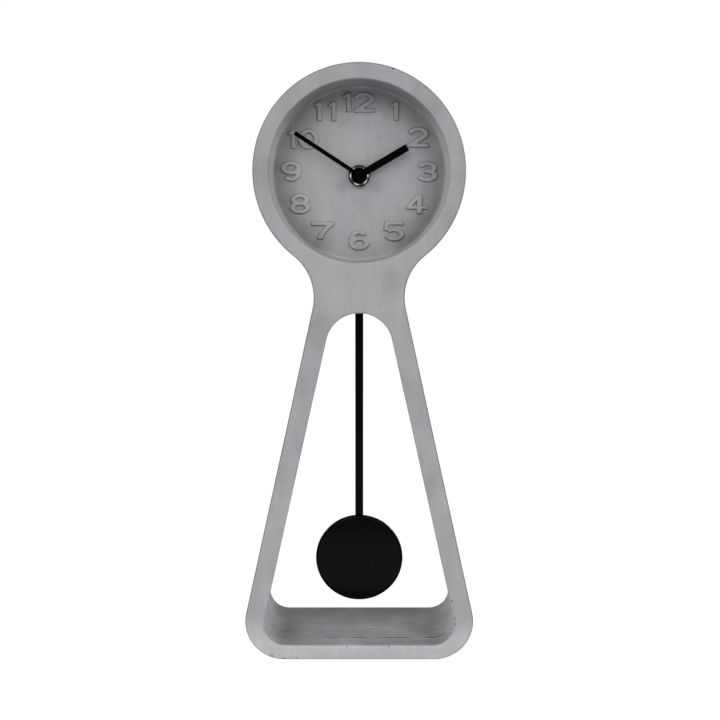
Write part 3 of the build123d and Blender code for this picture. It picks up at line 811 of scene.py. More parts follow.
@dataclass(frozen=True)
class CastConcrete:
    """Cast concrete: cloudy patches, fine grain, pinholes, painted shade in hollows, painted light
    on foot and dial.
    """

    head_centre: Point
    dial_radius: float
    dial_y: float
    tone: Colour = (0.352, 0.352, 0.360)
    cool: Colour = (0.336, 0.345, 0.362)
    violet: Colour = (0.348, 0.339, 0.354)
    warm: Colour = (0.364, 0.356, 0.346)
    cool_patches: Mottle = Mottle(46.0, 1.0, detail=2.0, shown=Ramp(0.45, 0.62))
    violet_patches: Mottle = Mottle(46.0, 2.0, detail=2.0, shown=Ramp(0.46, 0.64))
    warm_patches: Mottle = Mottle(17.0, 3.0, shown=Ramp(0.5, 0.7, 0.0, 0.6))
    clouds: Mottle = Mottle(27.2, 4.0, 4.0, 0.55, Ramp(0.3, 0.72, 0.93, 1.055))
    grain: Mottle = Mottle(1.1, 5.0, 4.0, 0.65, Ramp(0.25, 0.75, 0.955, 1.045))
    waves: Mottle = Mottle(24.0, 6.0, detail=2.0)
    wave_relief: Relief = Relief(0.35, 0.35)
    skin: Mottle = Mottle(0.7, 7.0, rough=0.6)
    skin_relief: Relief = Relief(0.05, 0.5)
    wear: Mottle = Mottle(6.0, 8.0, rough=0.6, shown=Ramp(0.3, 0.7, 0.75, 1.0))
    edge_tone: float = 0.5
    roughness: Mottle = Mottle(12.0, 9.0, 4.0, 0.6, Ramp(0.3, 0.7, 0.62, 0.82))
    gloss: float = 0.35
    pinhole_spacing: float = 9.0
    pinhole_size: Ramp = Ramp(0.028, 0.045, 1.0, 0.0)
    small_spacing: float = 9.0 / 2.6
    small_size: Ramp = Ramp(0.04, 0.07, 1.0, 0.0)
    small_clusters: Mottle = Mottle(32.0, 11.0, detail=2.0, shown=Ramp(0.52, 0.6))
    pinhole_tone: float = 0.55
    pinhole_relief: Relief = Relief(0.25, 0.7)
    runs: Mottle = Mottle(7.0, 24.0, 3.0, 0.55, Ramp(0.28, 0.72, 0.96, 1.04), (1.0, 1.0, 0.16))
    # Painted light: the front of the casting grows brighter towards the foot.
    foot_rise: Ramp = Ramp(0.0, 320.0, 1.2, 1.0)
    # Painted light on the front of the foot, in patches.
    sill_rise: Ramp = Ramp(9.5, 34.0, 1.0, 0.0)
    sill_front: Ramp = Ramp(-37.2, -35.5, 1.0, 0.0)
    sill_mottle: Mottle = Mottle(7.0, 21.0, 4.0, 0.6, Ramp(0.25, 0.75, 0.55, 1.0))
    sill_gain: float = 0.36
    bed_back: Ramp = Ramp(-36.2, -34.5)
    bed_rise: Ramp = Ramp(13.0, 30.0, 1.0, 0.0)
    # Painted shade on the floor of the opening, deeper towards its corners.
    bed_soil: float = 0.38
    bed_corner: Ramp = Ramp(30.0, 55.0, 0.0, 0.07)
    bed_stains: Mottle = Mottle(20.0, 25.0, 3.0, 0.55, Ramp(0.32, 0.68, -0.07, 0.07))
    drawn: Mottle = Mottle(2.2, 22.0, detail=5.0, rough=0.7, stretch=(0.07, 1.0, 1.0))
    drawn_pale: Ramp = Ramp(0.6, 0.69, 0.0, 0.22)
    drawn_dark: Ramp = Ramp(0.3, 0.4, 0.16, 0.0)
    seam_y: float = -22.5
    seam_tone: Ramp = Ramp(0.3, 1.2, 0.45, 0.0)
    seam_lip_y: float = -24.1
    seam_lip_tone: Ramp = Ramp(0.3, 1.2, 0.2, 0.0)
    seam_breaks: Mottle = Mottle(9.0, 23.0, 3.0, 0.6, Ramp(0.38, 0.55), (0.5, 1.0, 1.0))
    seam_reach: Ramp = Ramp(-36.0, -12.0, 0.1, 1.0)
    # Painted shade round the dial's rim and on the top and foot of the recess wall, painted light
    # on the wall's sides and on the dial; the neck is paler.
    soil_start: float = 38.0
    soil_depth: float = 0.42
    soil_patches: Mottle = Mottle(15.0, 12.0, shown=Ramp(0.25, 0.75, 0.75, 1.15))
    soil_low_end: Ramp = Ramp(-0.97, -0.84)
    soil_top: Ramp = Ramp(0.25, 0.95)
    dial_edge: Point = (1.4, 0.9)
    mouth_edge: Point = (2.2, 2.4)
    mouth_back: Ramp = Ramp(-36.6, -33.0)
    dial_gain: float = 0.1
    cheek_gain: Ramp = Ramp(0.55, 0.9, 0.24, 0.0)
    low_soil: Ramp = Ramp(-0.95, -0.6, 0.12, 0.0)
    neck: Spot = (0.0, -37.5, 282.0, 36.0)
    neck_soft: float = 34.0
    neck_gain: float = 0.1
    marks: tuple[Marks, ...] = (
        Marks(0.35, 0.15, (
            (63.4, -37.35, 41.6, 0.4), (65.2, -37.35, 28.7, 0.35), (65.5, -37.35, 25.0, 0.5),
            (20.2, -36.8, 9.3, 0.4), (21.8, -37.5, 395.7, 0.55), (-8.5, -37.0, 9.2, 0.3),
        )),
        # Soft dark spots on the dial: the first two are painted shadows of the nut and hands, the
        # other three darken it lower down.
        Marks(8.0, 0.86, (
            (-12.0, -17.5, 323.0, 0.5), (11.0, -17.5, 322.0, 0.5), (-42.0, -17.5, 284.0, 2.0),
            (38.0, -17.5, 287.0, 1.0), (28.0, -17.5, 274.0, 2.0),
        )),
        Marks(0.9, 0.66, (
            (-60.1, -37.3, 2.2, 1.2), (-51.5, -37.4, 1.0, 0.7), (-42.6, -37.4, 1.2, 0.4),
        )),
        Marks(14.0, 0.9, (
            (-26.0, -37.5, 224.0, 5.0), (23.5, -37.5, 258.0, 2.0), (46.0, -37.5, 378.0, 5.0),
            (41.0, -37.5, 120.0, 4.0), (-66.0, -37.5, 330.0, 3.0), (62.0, -37.5, 300.0, 2.0),
        )),
        Marks(0.4, 1.18, (
            (66.7, -37.5, 58.3, 0.2), (67.3, -37.5, 57.6, 0.25), (67.9, -37.5, 56.6, 0.2),
            (15.5, -37.5, 240.3, 0.8), (-12.0, -17.5, 296.0, 0.25), (24.0, -17.5, 303.0, 0.25),
        )),
    )

    def material(self) -> Material:
        """Builds the material.

        Returns:
            The material.
        """
        sheet = Sheet("cast_concrete_finish")
        pinholes = self._pinholes(sheet)
        grey = sheet.node("ShaderNodeCombineColor")
        shade = self._shade(sheet, pinholes)
        for socket in grey.inputs:
            sheet.feed(socket, shade)
        colour = sheet.colour(self._tint(sheet), grey.outputs[0], 1.0, Blend.MULTIPLY)
        waves = sheet.bump(sheet.noise(self.waves), self.wave_relief)
        skin = sheet.bump(sheet.noise(self.skin), self.skin_relief, waves)
        pits = sheet.bump(sheet.less(1.0, pinholes), self.pinhole_relief, skin)
        return sheet.finish(colour, sheet.mottle(self.roughness), self.gloss, pits)

    def _tint(self, sheet: Sheet) -> Socket:
        """Grey with cool, violet and warm patches.

        Args:
            sheet: The material's nodes.

        Returns:
            The colour.
        """
        colour = sheet.colour(self.tone, self.cool, sheet.mottle(self.cool_patches))
        colour = sheet.colour(colour, self.violet, sheet.mottle(self.violet_patches))
        return sheet.colour(colour, self.warm, sheet.mottle(self.warm_patches))

    def _shade(self, sheet: Sheet, pinholes: Socket) -> Value:
        """Brightness of the concrete, with painted light and shade among its factors.

        Args:
            sheet: The material's nodes.
            pinholes: Mask of the pinholes.

        Returns:
            The factor on the colour.
        """
        # On the body this darkens its outer edges in patches; on the numbers it lays their painted
        # shade.
        dark_edge_and_shade = sheet.times(sheet.attribute("arris"), sheet.mottle(self.wear))
        return sheet.times(
            sheet.mottle(self.clouds), sheet.mottle(self.grain),
            sheet.toned(pinholes, self.pinhole_tone),
            sheet.toned(dark_edge_and_shade, self.edge_tone), sheet.along(Axis.UP, self.foot_rise),
            sheet.plus(self._sill(sheet), self._bed(sheet)), sheet.mottle(self.runs),
            *(self._spotted(sheet, marks) for marks in self.marks), self._soil(sheet),
        )

    def _pinholes(self, sheet: Sheet) -> Socket:
        """Scattered pinholes, with clusters of smaller ones.

        Args:
            sheet: The material's nodes.

        Returns:
            A mask that is one in a hole.
        """
        holes = sheet.ramp(sheet.cells(self.pinhole_spacing, 1.0), self.pinhole_size)
        small = sheet.ramp(sheet.cells(self.small_spacing, 2.0), self.small_size)
        return sheet.math("MAXIMUM", holes, sheet.times(small, sheet.mottle(self.small_clusters)))

    def _spotted(self, sheet: Sheet, marks: Marks) -> Socket:
        """Several small spots of one tone.

        Args:
            sheet: The material's nodes.
            marks: The spots.

        Returns:
            The factor on the colour.
        """
        mask: Value = 0.0
        for spot in marks.spots:
            mask = sheet.math("MAXIMUM", mask, sheet.near(spot, marks.soft))
        return sheet.toned(mask, marks.tone)

    def _sill(self, sheet: Sheet) -> Value:
        """Painted light: a paler front of the foot, in patches.

        Args:
            sheet: The material's nodes.

        Returns:
            The factor on the colour.
        """
        low = sheet.along(Axis.UP, self.sill_rise)
        front = sheet.along(Axis.BACK, self.sill_front)
        sill_light = sheet.times(low, front, sheet.mottle(self.sill_mottle), self.sill_gain)
        return sheet.plus(1.0, sill_light)

    def _bed(self, sheet: Sheet) -> Value:
        """Floor of the opening: painted shade, deeper in its corners; drawn lines, stains, a mould
        seam.

        Args:
            sheet: The material's nodes.

        Returns:
            What is added to the factor on the colour.
        """
        drawn = sheet.noise(self.drawn)
        lines = sheet.less(sheet.ramp(drawn, self.drawn_pale), sheet.ramp(drawn, self.drawn_dark))
        stains = sheet.mottle(self.bed_stains)
        # Painted shade, deeper towards the corners of the opening's floor.
        corner = sheet.ramp(sheet.size_of(sheet.axis(Axis.ACROSS)), self.bed_corner, MM)
        marks = sheet.less(sheet.plus(lines, self._seam(sheet), stains), corner, self.bed_soil)
        bed = sheet.times(
            sheet.along(Axis.BACK, self.bed_back), sheet.along(Axis.UP, self.bed_rise),
        )
        return sheet.times(bed, marks)

    def _seam(self, sheet: Sheet) -> Value:
        """Mould seam: a broken dark line along the floor, with a light lip in front of it.

        Args:
            sheet: The material's nodes.

        Returns:
            Its tone.
        """
        back = sheet.axis(Axis.BACK)
        tones = []
        for place, tone in ((self.seam_lip_y, self.seam_lip_tone), (self.seam_y, self.seam_tone)):
            tones.append(sheet.ramp(sheet.size_of(sheet.less(back, place * MM)), tone, MM))
        shown = sheet.times(
            sheet.mottle(self.seam_breaks), sheet.along(Axis.ACROSS, self.seam_reach),
        )
        return sheet.times(sheet.less(*tones), shown)

    def _soil(self, sheet: Sheet) -> Value:
        """Painted shade at the dial's rim, wall top and foot; painted light on wall sides and dial;
        paler neck.

        Args:
            sheet: The material's nodes.

        Returns:
            The factor on the colour.
        """
        up = sheet.less(sheet.axis(Axis.UP), self.head_centre[1] * MM)
        across = sheet.axis(Axis.ACROSS)
        reach = sheet.math("SQRT", sheet.plus(sheet.times(up, up), sheet.times(across, across)))
        lean = sheet.math("DIVIDE", up, sheet.math("MAXIMUM", reach, MM))
        edge_front, edge_back = self.dial_y - self.dial_edge[0], self.dial_y - self.dial_edge[1]
        floor = sheet.along(Axis.BACK, Ramp(edge_front, edge_back))
        near_edge, far_edge = (self.dial_radius + part for part in self.mouth_edge)
        inside = sheet.ramp(reach, Ramp(near_edge, far_edge, 1.0, 0.0), MM)
        behind = sheet.along(Axis.BACK, self.mouth_back)
        wall = sheet.times(inside, behind, sheet.less(1.0, floor))
        rim = sheet.ramp(reach, Ramp(self.soil_start, self.dial_radius), MM)
        # Painted shade round the dial's rim, with its bottom left clear.
        dial_rim_shade = sheet.times(
            floor, rim, sheet.ramp(lean, self.soil_low_end), sheet.mottle(self.soil_patches),
        )
        recess_shade = sheet.math("MAXIMUM", dial_rim_shade, sheet.times(wall, sheet.ramp(lean, self.soil_top)))
        # Painted light on the left and right of the recess wall, painted shade at its foot.
        cheek_light = sheet.times(wall, sheet.ramp(sheet.size_of(lean), self.cheek_gain))
        low_wall_shade = sheet.times(wall, sheet.ramp(lean, self.low_soil))
        neck = sheet.times(
            sheet.near(self.neck, self.neck_soft), sheet.less(1.0, behind), self.neck_gain,
        )
        # Painted light on the dial.
        dial = sheet.times(floor, inside, self.dial_gain)
        light_and_neck_tone = sheet.less(sheet.plus(1.0, dial, cheek_light, neck), low_wall_shade)
        return sheet.times(sheet.less(1.0, sheet.times(recess_shade, self.soil_depth)), light_and_neck_tone)


@dataclass(frozen=True, kw_only=True)
class Coat:
    """Opaque finish in two tones, with a fine skin and, where it has one, an uneven sheen."""

    name: str
    colour: Colour
    second: Colour
    roughness: float
    gloss: float
    patches: Mottle
    sheen: Mottle | None = None
    skin: Mottle
    relief: Relief

    def material(self) -> Material:
        """Builds the material.

        Returns:
            The material.
        """
        sheet = Sheet(self.name)
        colour = sheet.colour(self.colour, self.second, sheet.mottle(self.patches))
        rough: Value = self.roughness
        if self.sheen is not None:
            rough = sheet.times(sheet.mottle(self.sheen), self.roughness)
        skin = sheet.bump(sheet.noise(self.skin), self.relief)
        return sheet.finish(colour, rough, self.gloss, skin)


@dataclass(frozen=True, kw_only=True)
class Paint(Coat):
    """Sprayed paint on sheet metal, with an orange-peel skin and faint rubbed patches."""

    patches: Mottle = Mottle(9.0, 1.0, 4.0, 0.6, Ramp(0.5, 0.75))
    sheen: Mottle | None = Mottle(5.0, 2.0, 4.0, 0.6, Ramp(0.3, 0.7, 0.88, 1.12))
    skin: Mottle = Mottle(0.9, 3.0, detail=2.0)
    relief: Relief = Relief(0.012, 0.6)


@dataclass(frozen=True, kw_only=True)
class MouldedPlastic(Coat):
    """Injection-moulded plastic with a fine spark texture."""

    patches: Mottle = Mottle(14.0, 1.0, shown=Ramp(0.35, 0.7))
    sheen: Mottle | None = Mottle(6.0, 3.0, shown=Ramp(0.3, 0.7, 0.9, 1.1))
    skin: Mottle = Mottle(0.5, 2.0, rough=0.6)
    relief: Relief = Relief(0.015, 0.6)


@dataclass(frozen=True, kw_only=True)
class Rubber(Coat):
    """Dull rubber with a dusty bloom."""

    patches: Mottle = Mottle(4.0, 1.0, 4.0, 0.6, Ramp(0.45, 0.75))
    skin: Mottle = Mottle(0.8, 2.0, rough=0.6)
    relief: Relief = Relief(0.03, 0.6)


@dataclass(frozen=True, kw_only=True)
class Metal:
    """Bare or plated metal with turning or rolling marks, and painted glints where a mesh marks
    them.
    """

    name: str
    colour: Colour
    dull: Colour
    roughness: float
    marks: Mottle = Mottle(2.0, 1.0, 4.0, 0.6, Ramp(0.3, 0.7, 0.8, 1.3), (1.0, 6.0, 1.0))
    relief: Relief = Relief(0.004, 0.5)
    stain: Mottle = Mottle(7.0, 2.0, 4.0, 0.6, Ramp(0.45, 0.75))
    # Colour of the painted glints, laid where a mesh marks them.
    bevel: Colour = (0.85, 0.85, 0.86)
    gloss: float = 0.5

    def material(self) -> Material:
        """Builds the material.

        Returns:
            The material.
        """
        sheet = Sheet(self.name)
        colour = sheet.colour(self.colour, self.dull, sheet.mottle(self.stain))
        colour = sheet.colour(colour, self.bevel, sheet.attribute("bevel"))
        marks = sheet.noise(self.marks)
        rough = sheet.times(sheet.ramp(marks, self.marks.shown), self.roughness)
        return sheet.finish(colour, rough, self.gloss, sheet.bump(marks, self.relief), 1.0)


@dataclass(frozen=True)
class Winding:
    """Turns of enamelled wire, seen as fine ridges with painted shade between them."""

    colour: Colour = (0.42, 0.13, 0.045)
    # Also the colour of the painted shade between the turns.
    dark: Colour = (0.16, 0.04, 0.015)
    pitch: float = 0.35
    sway: Mottle = Mottle(2.0, 1.0, detail=2.0, shown=Ramp(0.4, 0.7, 0.0, 0.4))
    relief: Relief = Relief(0.1, 0.8)
    roughness: float = 0.32
    gloss: float = 0.6

    def material(self) -> Material:
        """Builds the material.

        Returns:
            The material.
        """
        sheet = Sheet("copper_winding_finish")
        ridge = sheet.ramp(sheet.stripes(Axis.ACROSS, self.pitch), Ramp(-1.0, 1.0))
        # Painted shade: the grooves between the turns are darker.
        colour = sheet.colour(self.colour, self.dark, sheet.less(1.0, ridge))
        colour = sheet.colour(colour, self.dark, sheet.mottle(self.sway))
        return sheet.finish(colour, self.roughness, self.gloss, sheet.bump(ridge, self.relief))


@dataclass(frozen=True)
class LacqueredBoard:
    """Green lacquer over copper tracks."""

    base: Colour = (0.03, 0.13, 0.06)
    track: Colour = (0.06, 0.22, 0.09)
    pitch: float = 1.9
    track_edge: Ramp = Ramp(0.1, 0.3)
    sheen: Mottle = Mottle(3.0, 1.0, shown=Ramp(0.3, 0.7, 0.3, 0.42))
    relief: Relief = Relief(0.03, 0.7)
    gloss: float = 0.5

    def material(self) -> Material:
        """Builds the material.

        Returns:
            The material.
        """
        sheet = Sheet("board_finish")
        track = sheet.ramp(sheet.stripes(Axis.ACROSS, self.pitch), self.track_edge)
        colour = sheet.colour(self.base, self.track, track)
        rough = sheet.mottle(self.sheen)
        return sheet.finish(colour, rough, self.gloss, sheet.bump(track, self.relief))


@dataclass(frozen=True)
class CellJacket:
    """Printed jacket of a plain dry cell: a dark body and a coppery band, lightly scuffed."""

    dark: Colour = (0.03, 0.03, 0.034)
    band: Colour = (0.42, 0.20, 0.07)
    band_end: Ramp = Ramp(14.8, 15.0, 1.0, 0.0)
    scuffed: Colour = (0.2, 0.2, 0.2)
    scuffs: Mottle = Mottle(3.0, 1.0, 4.0, 0.65, Ramp(0.62, 0.75, 0.0, 0.25), (4.0, 1.0, 1.0))
    sheen: Mottle = Mottle(4.0, 2.0, shown=Ramp(0.3, 0.7, 0.26, 0.36))
    skin: Mottle = Mottle(1.4, 3.0, detail=2.0)
    relief: Relief = Relief(0.01, 0.5)
    gloss: float = 0.5

    def material(self) -> Material:
        """Builds the material.

        Returns:
            The material.
        """
        sheet = Sheet("cell_jacket_finish")
        from_end = sheet.less(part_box("battery")[1].x, sheet.axis(Axis.ACROSS))
        colour = sheet.colour(self.dark, self.band, sheet.ramp(from_end, self.band_end, MM))
        colour = sheet.colour(colour, self.scuffed, sheet.mottle(self.scuffs))
        skin = sheet.bump(sheet.noise(self.skin), self.relief)
        return sheet.finish(colour, sheet.mottle(self.sheen), self.gloss, skin)


def finishes(concrete: CastConcrete) -> dict[Slot, Material]:
    """Builds one material for each slot.

    Args:
        concrete: Finish of the casting, which follows the dial's place.

    Returns:
        The material of each slot.
    """
    coats = {
        Slot.CONCRETE: concrete,
        Slot.HANDS: Paint(
            name="black_hands_finish",
            colour=(0.0008, 0.0008, 0.0010), second=(0.0012, 0.0012, 0.0014),
            roughness=0.5, gloss=0.02,
        ),
        Slot.CHROME: Metal(
            name="dark_chrome_finish", colour=(0.012, 0.012, 0.013), dull=(0.009, 0.009, 0.010),
            roughness=0.12, marks=Mottle(2.0, 1.0, 4.0, 0.6, Ramp(0.3, 0.7, 0.8, 1.3)),
            relief=Relief(0.001, 0.5),
        ),
        Slot.ROD: Paint(
            name="black_rod_finish",
            colour=(0.0014, 0.0014, 0.0014), second=(0.0018, 0.0018, 0.0018),
            roughness=0.3, gloss=0.055,
        ),
        Slot.BOB: Paint(
            name="black_bob_finish",
            colour=(0.0015, 0.0015, 0.0018), second=(0.0018, 0.0018, 0.0022),
            roughness=0.25, gloss=0.085, relief=Relief(0.004, 0.6),
        ),
        Slot.BLACK_PLASTIC: MouldedPlastic(
            name="black_plastic_finish", colour=(0.020, 0.020, 0.021), second=(0.026, 0.026, 0.027),
            roughness=0.5, gloss=0.4,
        ),
        Slot.WHITE_PLASTIC: MouldedPlastic(
            name="white_plastic_finish", colour=(0.72, 0.72, 0.69), second=(0.66, 0.66, 0.62),
            roughness=0.38, gloss=0.4, relief=Relief(0.006, 0.6),
        ),
        Slot.BRASS: Metal(
            name="brass_finish", colour=(0.72, 0.50, 0.21), dull=(0.55, 0.37, 0.16), roughness=0.25,
        ),
        Slot.STEEL: Metal(
            name="steel_finish", colour=(0.55, 0.55, 0.56), dull=(0.44, 0.44, 0.45), roughness=0.28,
        ),
        Slot.RUBBER: Rubber(
            name="rubber_finish", colour=(0.022, 0.022, 0.022), second=(0.05, 0.05, 0.048),
            roughness=0.85, gloss=0.25,
        ),
        Slot.WINDING: Winding(),
        Slot.BOARD: LacqueredBoard(),
        Slot.CELL: CellJacket(),
        Slot.MAGNET: Metal(
            name="magnet_finish", colour=(0.26, 0.26, 0.27), dull=(0.18, 0.18, 0.19),
            roughness=0.45,
        ),
    }
    return {slot: coat.material() for slot, coat in coats.items()}


@dataclass
class Workshop:
    """Shared materials, and the ways to dress a piece."""

    coats: dict[Slot, Material] = field(default_factory=dict)
    made: list[str] = field(default_factory=list)

    def dress(self, item: Item, slot: Slot, body: str, node: str = "") -> None:
        """Gives a new piece its material, slot and body.

        Args:
            item: The piece.
            slot: Material slot of the record.
            body: Body that the piece rides on.
            node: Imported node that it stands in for, if any.
        """
        item.data.materials.clear()
        item.data.materials.append(self.coats[slot])
        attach(item, body)
        if node:
            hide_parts(node)
        self.made.append(item.name)
        LOG.info("piece %s rides on %s", item.name, body)

    def coat_nodes(self, slots: dict[Slot, str]) -> None:
        """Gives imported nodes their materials.

        Args:
            slots: Names of the nodes of each slot, with spaces between them.
        """
        for slot, names in slots.items():
            for name in names.split():
                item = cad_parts[name]
                if not item.material_slots:
                    item.data.materials.append(None)
                for place in item.material_slots:
                    place.link = "OBJECT"
                    place.material = self.coats[slot]
                LOG.info("node %s is %s", name, slot.value)


# Cast body

@dataclass
class CastBody:
    """The casting: head on two legs, arched opening, dial recess, pocket and neck channel."""

    workshop: Workshop
    height: float = 400.0
    depth: float = 2 * HALF_DEPTH
    head_radius: float = 69.7
    foot_half_width: float = 84.6
    crown_half_width: float = 11.0
    neck_radius: float = 34.8
    foot_corner: float = 26.6
    leg_foot_width: float = 15.5
    opening_floor: float = 9.5
    opening_corner: float = 14.6
    opening_round: float = 1.26
    arch_radius: float = 22.3
    arch_height: float = 215.6
    mouth_radius: float = 59.5
    dial_radius: float = 57.5
    dial_depth: float = 20.0
    pocket_radius: float = 57.66
    pocket_floor: float = 29.0
    bush_hole_radius: float = 4.25
    shaft_drop: float = 1.2
    channel_half_width: float = 10.0
    channel_front: float = 33.0
    arris: float = 0.9
    arris_steps: int = 5
    arris_marked: Point = (0.01, 1.1)
    arris_reach: float = 1.92
    lip: float = 0.9
    dial_corner: float = 1.8
    draft: float = 2.2
    draft_start: float = 20.0
    point_step: float = 1.6
    head_count: int = 240
    hole_count: int = 48

    @property
    def head_centre(self) -> Point:
        """Middle of the head and of the dial."""
        return (0.0, self.height - self.head_radius)

    @property
    def shaft(self) -> Point:
        """Place of the hand shaft."""
        return (0.0, self.head_centre[1] - self.shaft_drop)

    def outer_outline(self) -> list[Point]:
        """Outline of the whole body.

        Returns:
            Its points, anticlockwise from the middle of its base.
        """
        foot = Vector((self.foot_half_width, 0.0))
        along = (Vector((self.crown_half_width, self.head_centre[1])) - foot).normalized()
        neck = self._neck_centre(foot, along)
        lean = angle_of(along.x, along.y)
        to_head = angle_of(self.head_centre[0] - neck[0], self.head_centre[1] - neck[1])
        return mirrored([
            (0.0, 0.0),
            *self._foot_round(foot, along, self.foot_corner),
            *arc(neck, self.neck_radius, lean + 90.0, to_head, self.point_step),
            *arc(self.head_centre, self.head_radius, to_head - 180.0, 90.0, self.point_step),
        ], self.point_step * 2)

    def _foot_round(self, base: Vector, along: Vector, size: float) -> list[Point]:
        """Round of a size between a level line and a leaning one, which would meet at base."""
        centre = (base.x + (along.x - 1.0) * size / along.y, base.y + size)
        return arc(centre, size, -90.0, angle_of(along.y, -along.x), self.point_step)

    def _neck_centre(self, foot: Vector, along: Vector) -> Point:
        """Centre of the hollow round between the right leg and the head.

        Args:
            foot: Lower end of the leg's line.
            along: Direction of the line.

        Returns:
            The centre.
        """
        base = foot + Vector((along.y, -along.x)) * self.neck_radius
        reach = self.head_radius + self.neck_radius
        gap = base - Vector(self.head_centre)
        half = gap.dot(along)
        travel = -half - math.sqrt(half * half - gap.dot(gap) + reach * reach)
        centre = base + along * travel
        return (centre.x, centre.y)

    def opening_outline(self) -> list[Point]:
        """Outline of the opening between the legs.

        Returns:
            Its points, anticlockwise from the middle of its floor.
        """
        corner = Vector((self.foot_half_width - self.leg_foot_width, self.opening_floor))
        arch = (0.0, self.arch_height)
        spread_angle = math.degrees(math.acos(self.arch_radius / math.dist(corner, arch)))
        touch = angle_of(corner.x - arch[0], corner.y - arch[1]) + spread_angle
        along = (Vector(away(arch, self.arch_radius, touch)) - corner).normalized()
        return mirrored([
            (0.0, self.opening_floor),
            *self._foot_round(corner, along, self.opening_corner),
            *arc(arch, self.arch_radius, touch, 90.0, self.point_step),
        ], self.point_step * 2)

    def through_profile(self, size: float) -> list[Point]:
        """Profile of a wall that runs from the front face to the back, rounded at both ends.

        Args:
            size: Radius of the rounds.

        Returns:
            Offsets into the air and depths.
        """
        front = []
        for step in range(self.arris_steps + 1):
            turn = math.radians(90.0 * step / self.arris_steps)
            front.append((-size + size * math.sin(turn), size - size * math.cos(turn)))
        return [*front, *((offset, self.depth - depth) for offset, depth in reversed(front))]

    def drafted(self, point: Point, depth: float) -> Point:
        """Moves a point of the opening outwards with depth, as the mould leaves it."""
        share = max(-1.0, min(1.0, point[0] / self.draft_start))
        return (point[0] + self.draft * depth / self.depth * share, point[1])

    def recess_profile(self) -> list[Point]:
        """Profile of the dial recess, from the front face to the dial.

        Returns:
            Radii and depths.
        """
        return rounded_profile([
            (self.mouth_radius + self.lip, 0.0, 0.0),
            (self.mouth_radius, 0.0, self.lip),
            (self.dial_radius, self.dial_depth, self.dial_corner),
            (self.dial_radius - 2 * self.dial_corner, self.dial_depth, 0.0),
        ])

    def bush_hole_profile(self) -> list[Point]:
        """Profile of the hole for the threaded bush, from the dial to the pocket.

        Returns:
            Radii and depths.
        """
        return rounded_profile([
            (self.bush_hole_radius + self.lip, self.dial_depth, 0.0),
            (self.bush_hole_radius, self.dial_depth, self.lip),
            (self.bush_hole_radius, self.pocket_floor, self.lip),
            (self.bush_hole_radius + self.lip, self.pocket_floor, 0.0),
        ], 3)

    def pocket_profile(self) -> list[Point]:
        """Profile of the movement's pocket, from its floor to the back face.

        Returns:
            Radii and depths.
        """
        return rounded_profile([
            (self.pocket_radius - 2 * self.dial_corner, self.pocket_floor, 0.0),
            (self.pocket_radius, self.pocket_floor, self.dial_corner),
            (self.pocket_radius, self.depth, self.arris),
            (self.pocket_radius + self.arris, self.depth, 0.0),
        ])

    def build(self) -> None:
        """Builds and dresses the casting."""
        casting = Casting()
        outer = self.outer_outline()
        sides = casting.wall(outer, outward(outer), self.through_profile(self.arris))
        opening = self.opening_outline()
        arch = casting.wall(
            opening, inward(opening), self.through_profile(self.opening_round), self.drafted,
        )
        mouth = casting.turned(self.recess_profile(), self.head_centre, self.head_count)
        hole = casting.turned(self.bush_hole_profile(), self.shaft, self.hole_count)
        pocket = casting.turned(self.pocket_profile(), self.head_centre, self.head_count)
        casting.fill(sides[0], arch[0], mouth[0])
        casting.fill(sides[-1], arch[-1], pocket[-1])
        casting.fill(mouth[-1], hole[0])
        casting.fill(pocket[0], hole[-1])
        item = casting.finished("cast_body")
        low = (-self.channel_half_width, self.channel_front - HALF_DEPTH, self.arch_height)
        cut_away(item, low, (self.channel_half_width, self.depth, self.head_centre[1]))
        smooth(item.data)
        self.mark_arris(item)
        self.workshop.dress(settled(item), Slot.CONCRETE, "clock", "concrete_body")

    def mark_arris(self, item: Item) -> None:
        """Marks the outer edges, which the finish darkens.

        Args:
            item: The casting.
        """
        mark = item.data.attributes.new("arris", "FLOAT", "POINT")
        outline = np.array(self.outer_outline())
        for index, vertex in enumerate(item.data.vertices):
            x, y, z = vertex.co / MM
            off_face = abs(abs(y) - HALF_DEPTH)
            gap = np.hypot(outline[:, 0] - x, outline[:, 1] - z).min()
            if self.arris_marked[0] <= off_face <= self.arris_marked[1] and gap < self.arris_reach:
                mark.data[index].value = 1.0


# Numerals

BOW_STEP = 9.0
BOW_COUNT = 6
SWOOP_COUNT = 9


def bow(
    centre: Point, half_width: float, half_height: float, first: float, last: float,
) -> list[Point]:
    """Points along an oval arc.

    Args:
        centre: Middle of the oval.
        half_width: Half of its width.
        half_height: Half of its height.
        first: Angle of the first point, in degrees.
        last: Angle of the last point, in degrees.

    Returns:
        The points.
    """
    count = max(BOW_COUNT, math.ceil(abs(last - first) / BOW_STEP))
    points = []
    for share in range(count + 1):
        x, z = away((0.0, 0.0), 1.0, first + (last - first) * share / count)
        points.append((centre[0] + x * half_width, centre[1] + z * half_height))
    return points


def swoop(start: Point, through: Point, end: Point) -> list[Point]:
    """Points along a curve.

    Args:
        start: First point.
        through: Place that the curve leaves start towards.
        end: Last point.

    Returns:
        The points.
    """
    share = np.linspace(0.0, 1.0, SWOOP_COUNT)[:, None]
    curve = (1 - share) ** 2 * start + 2 * share * (1 - share) * through + share ** 2 * end
    return [tuple(point) for point in curve]


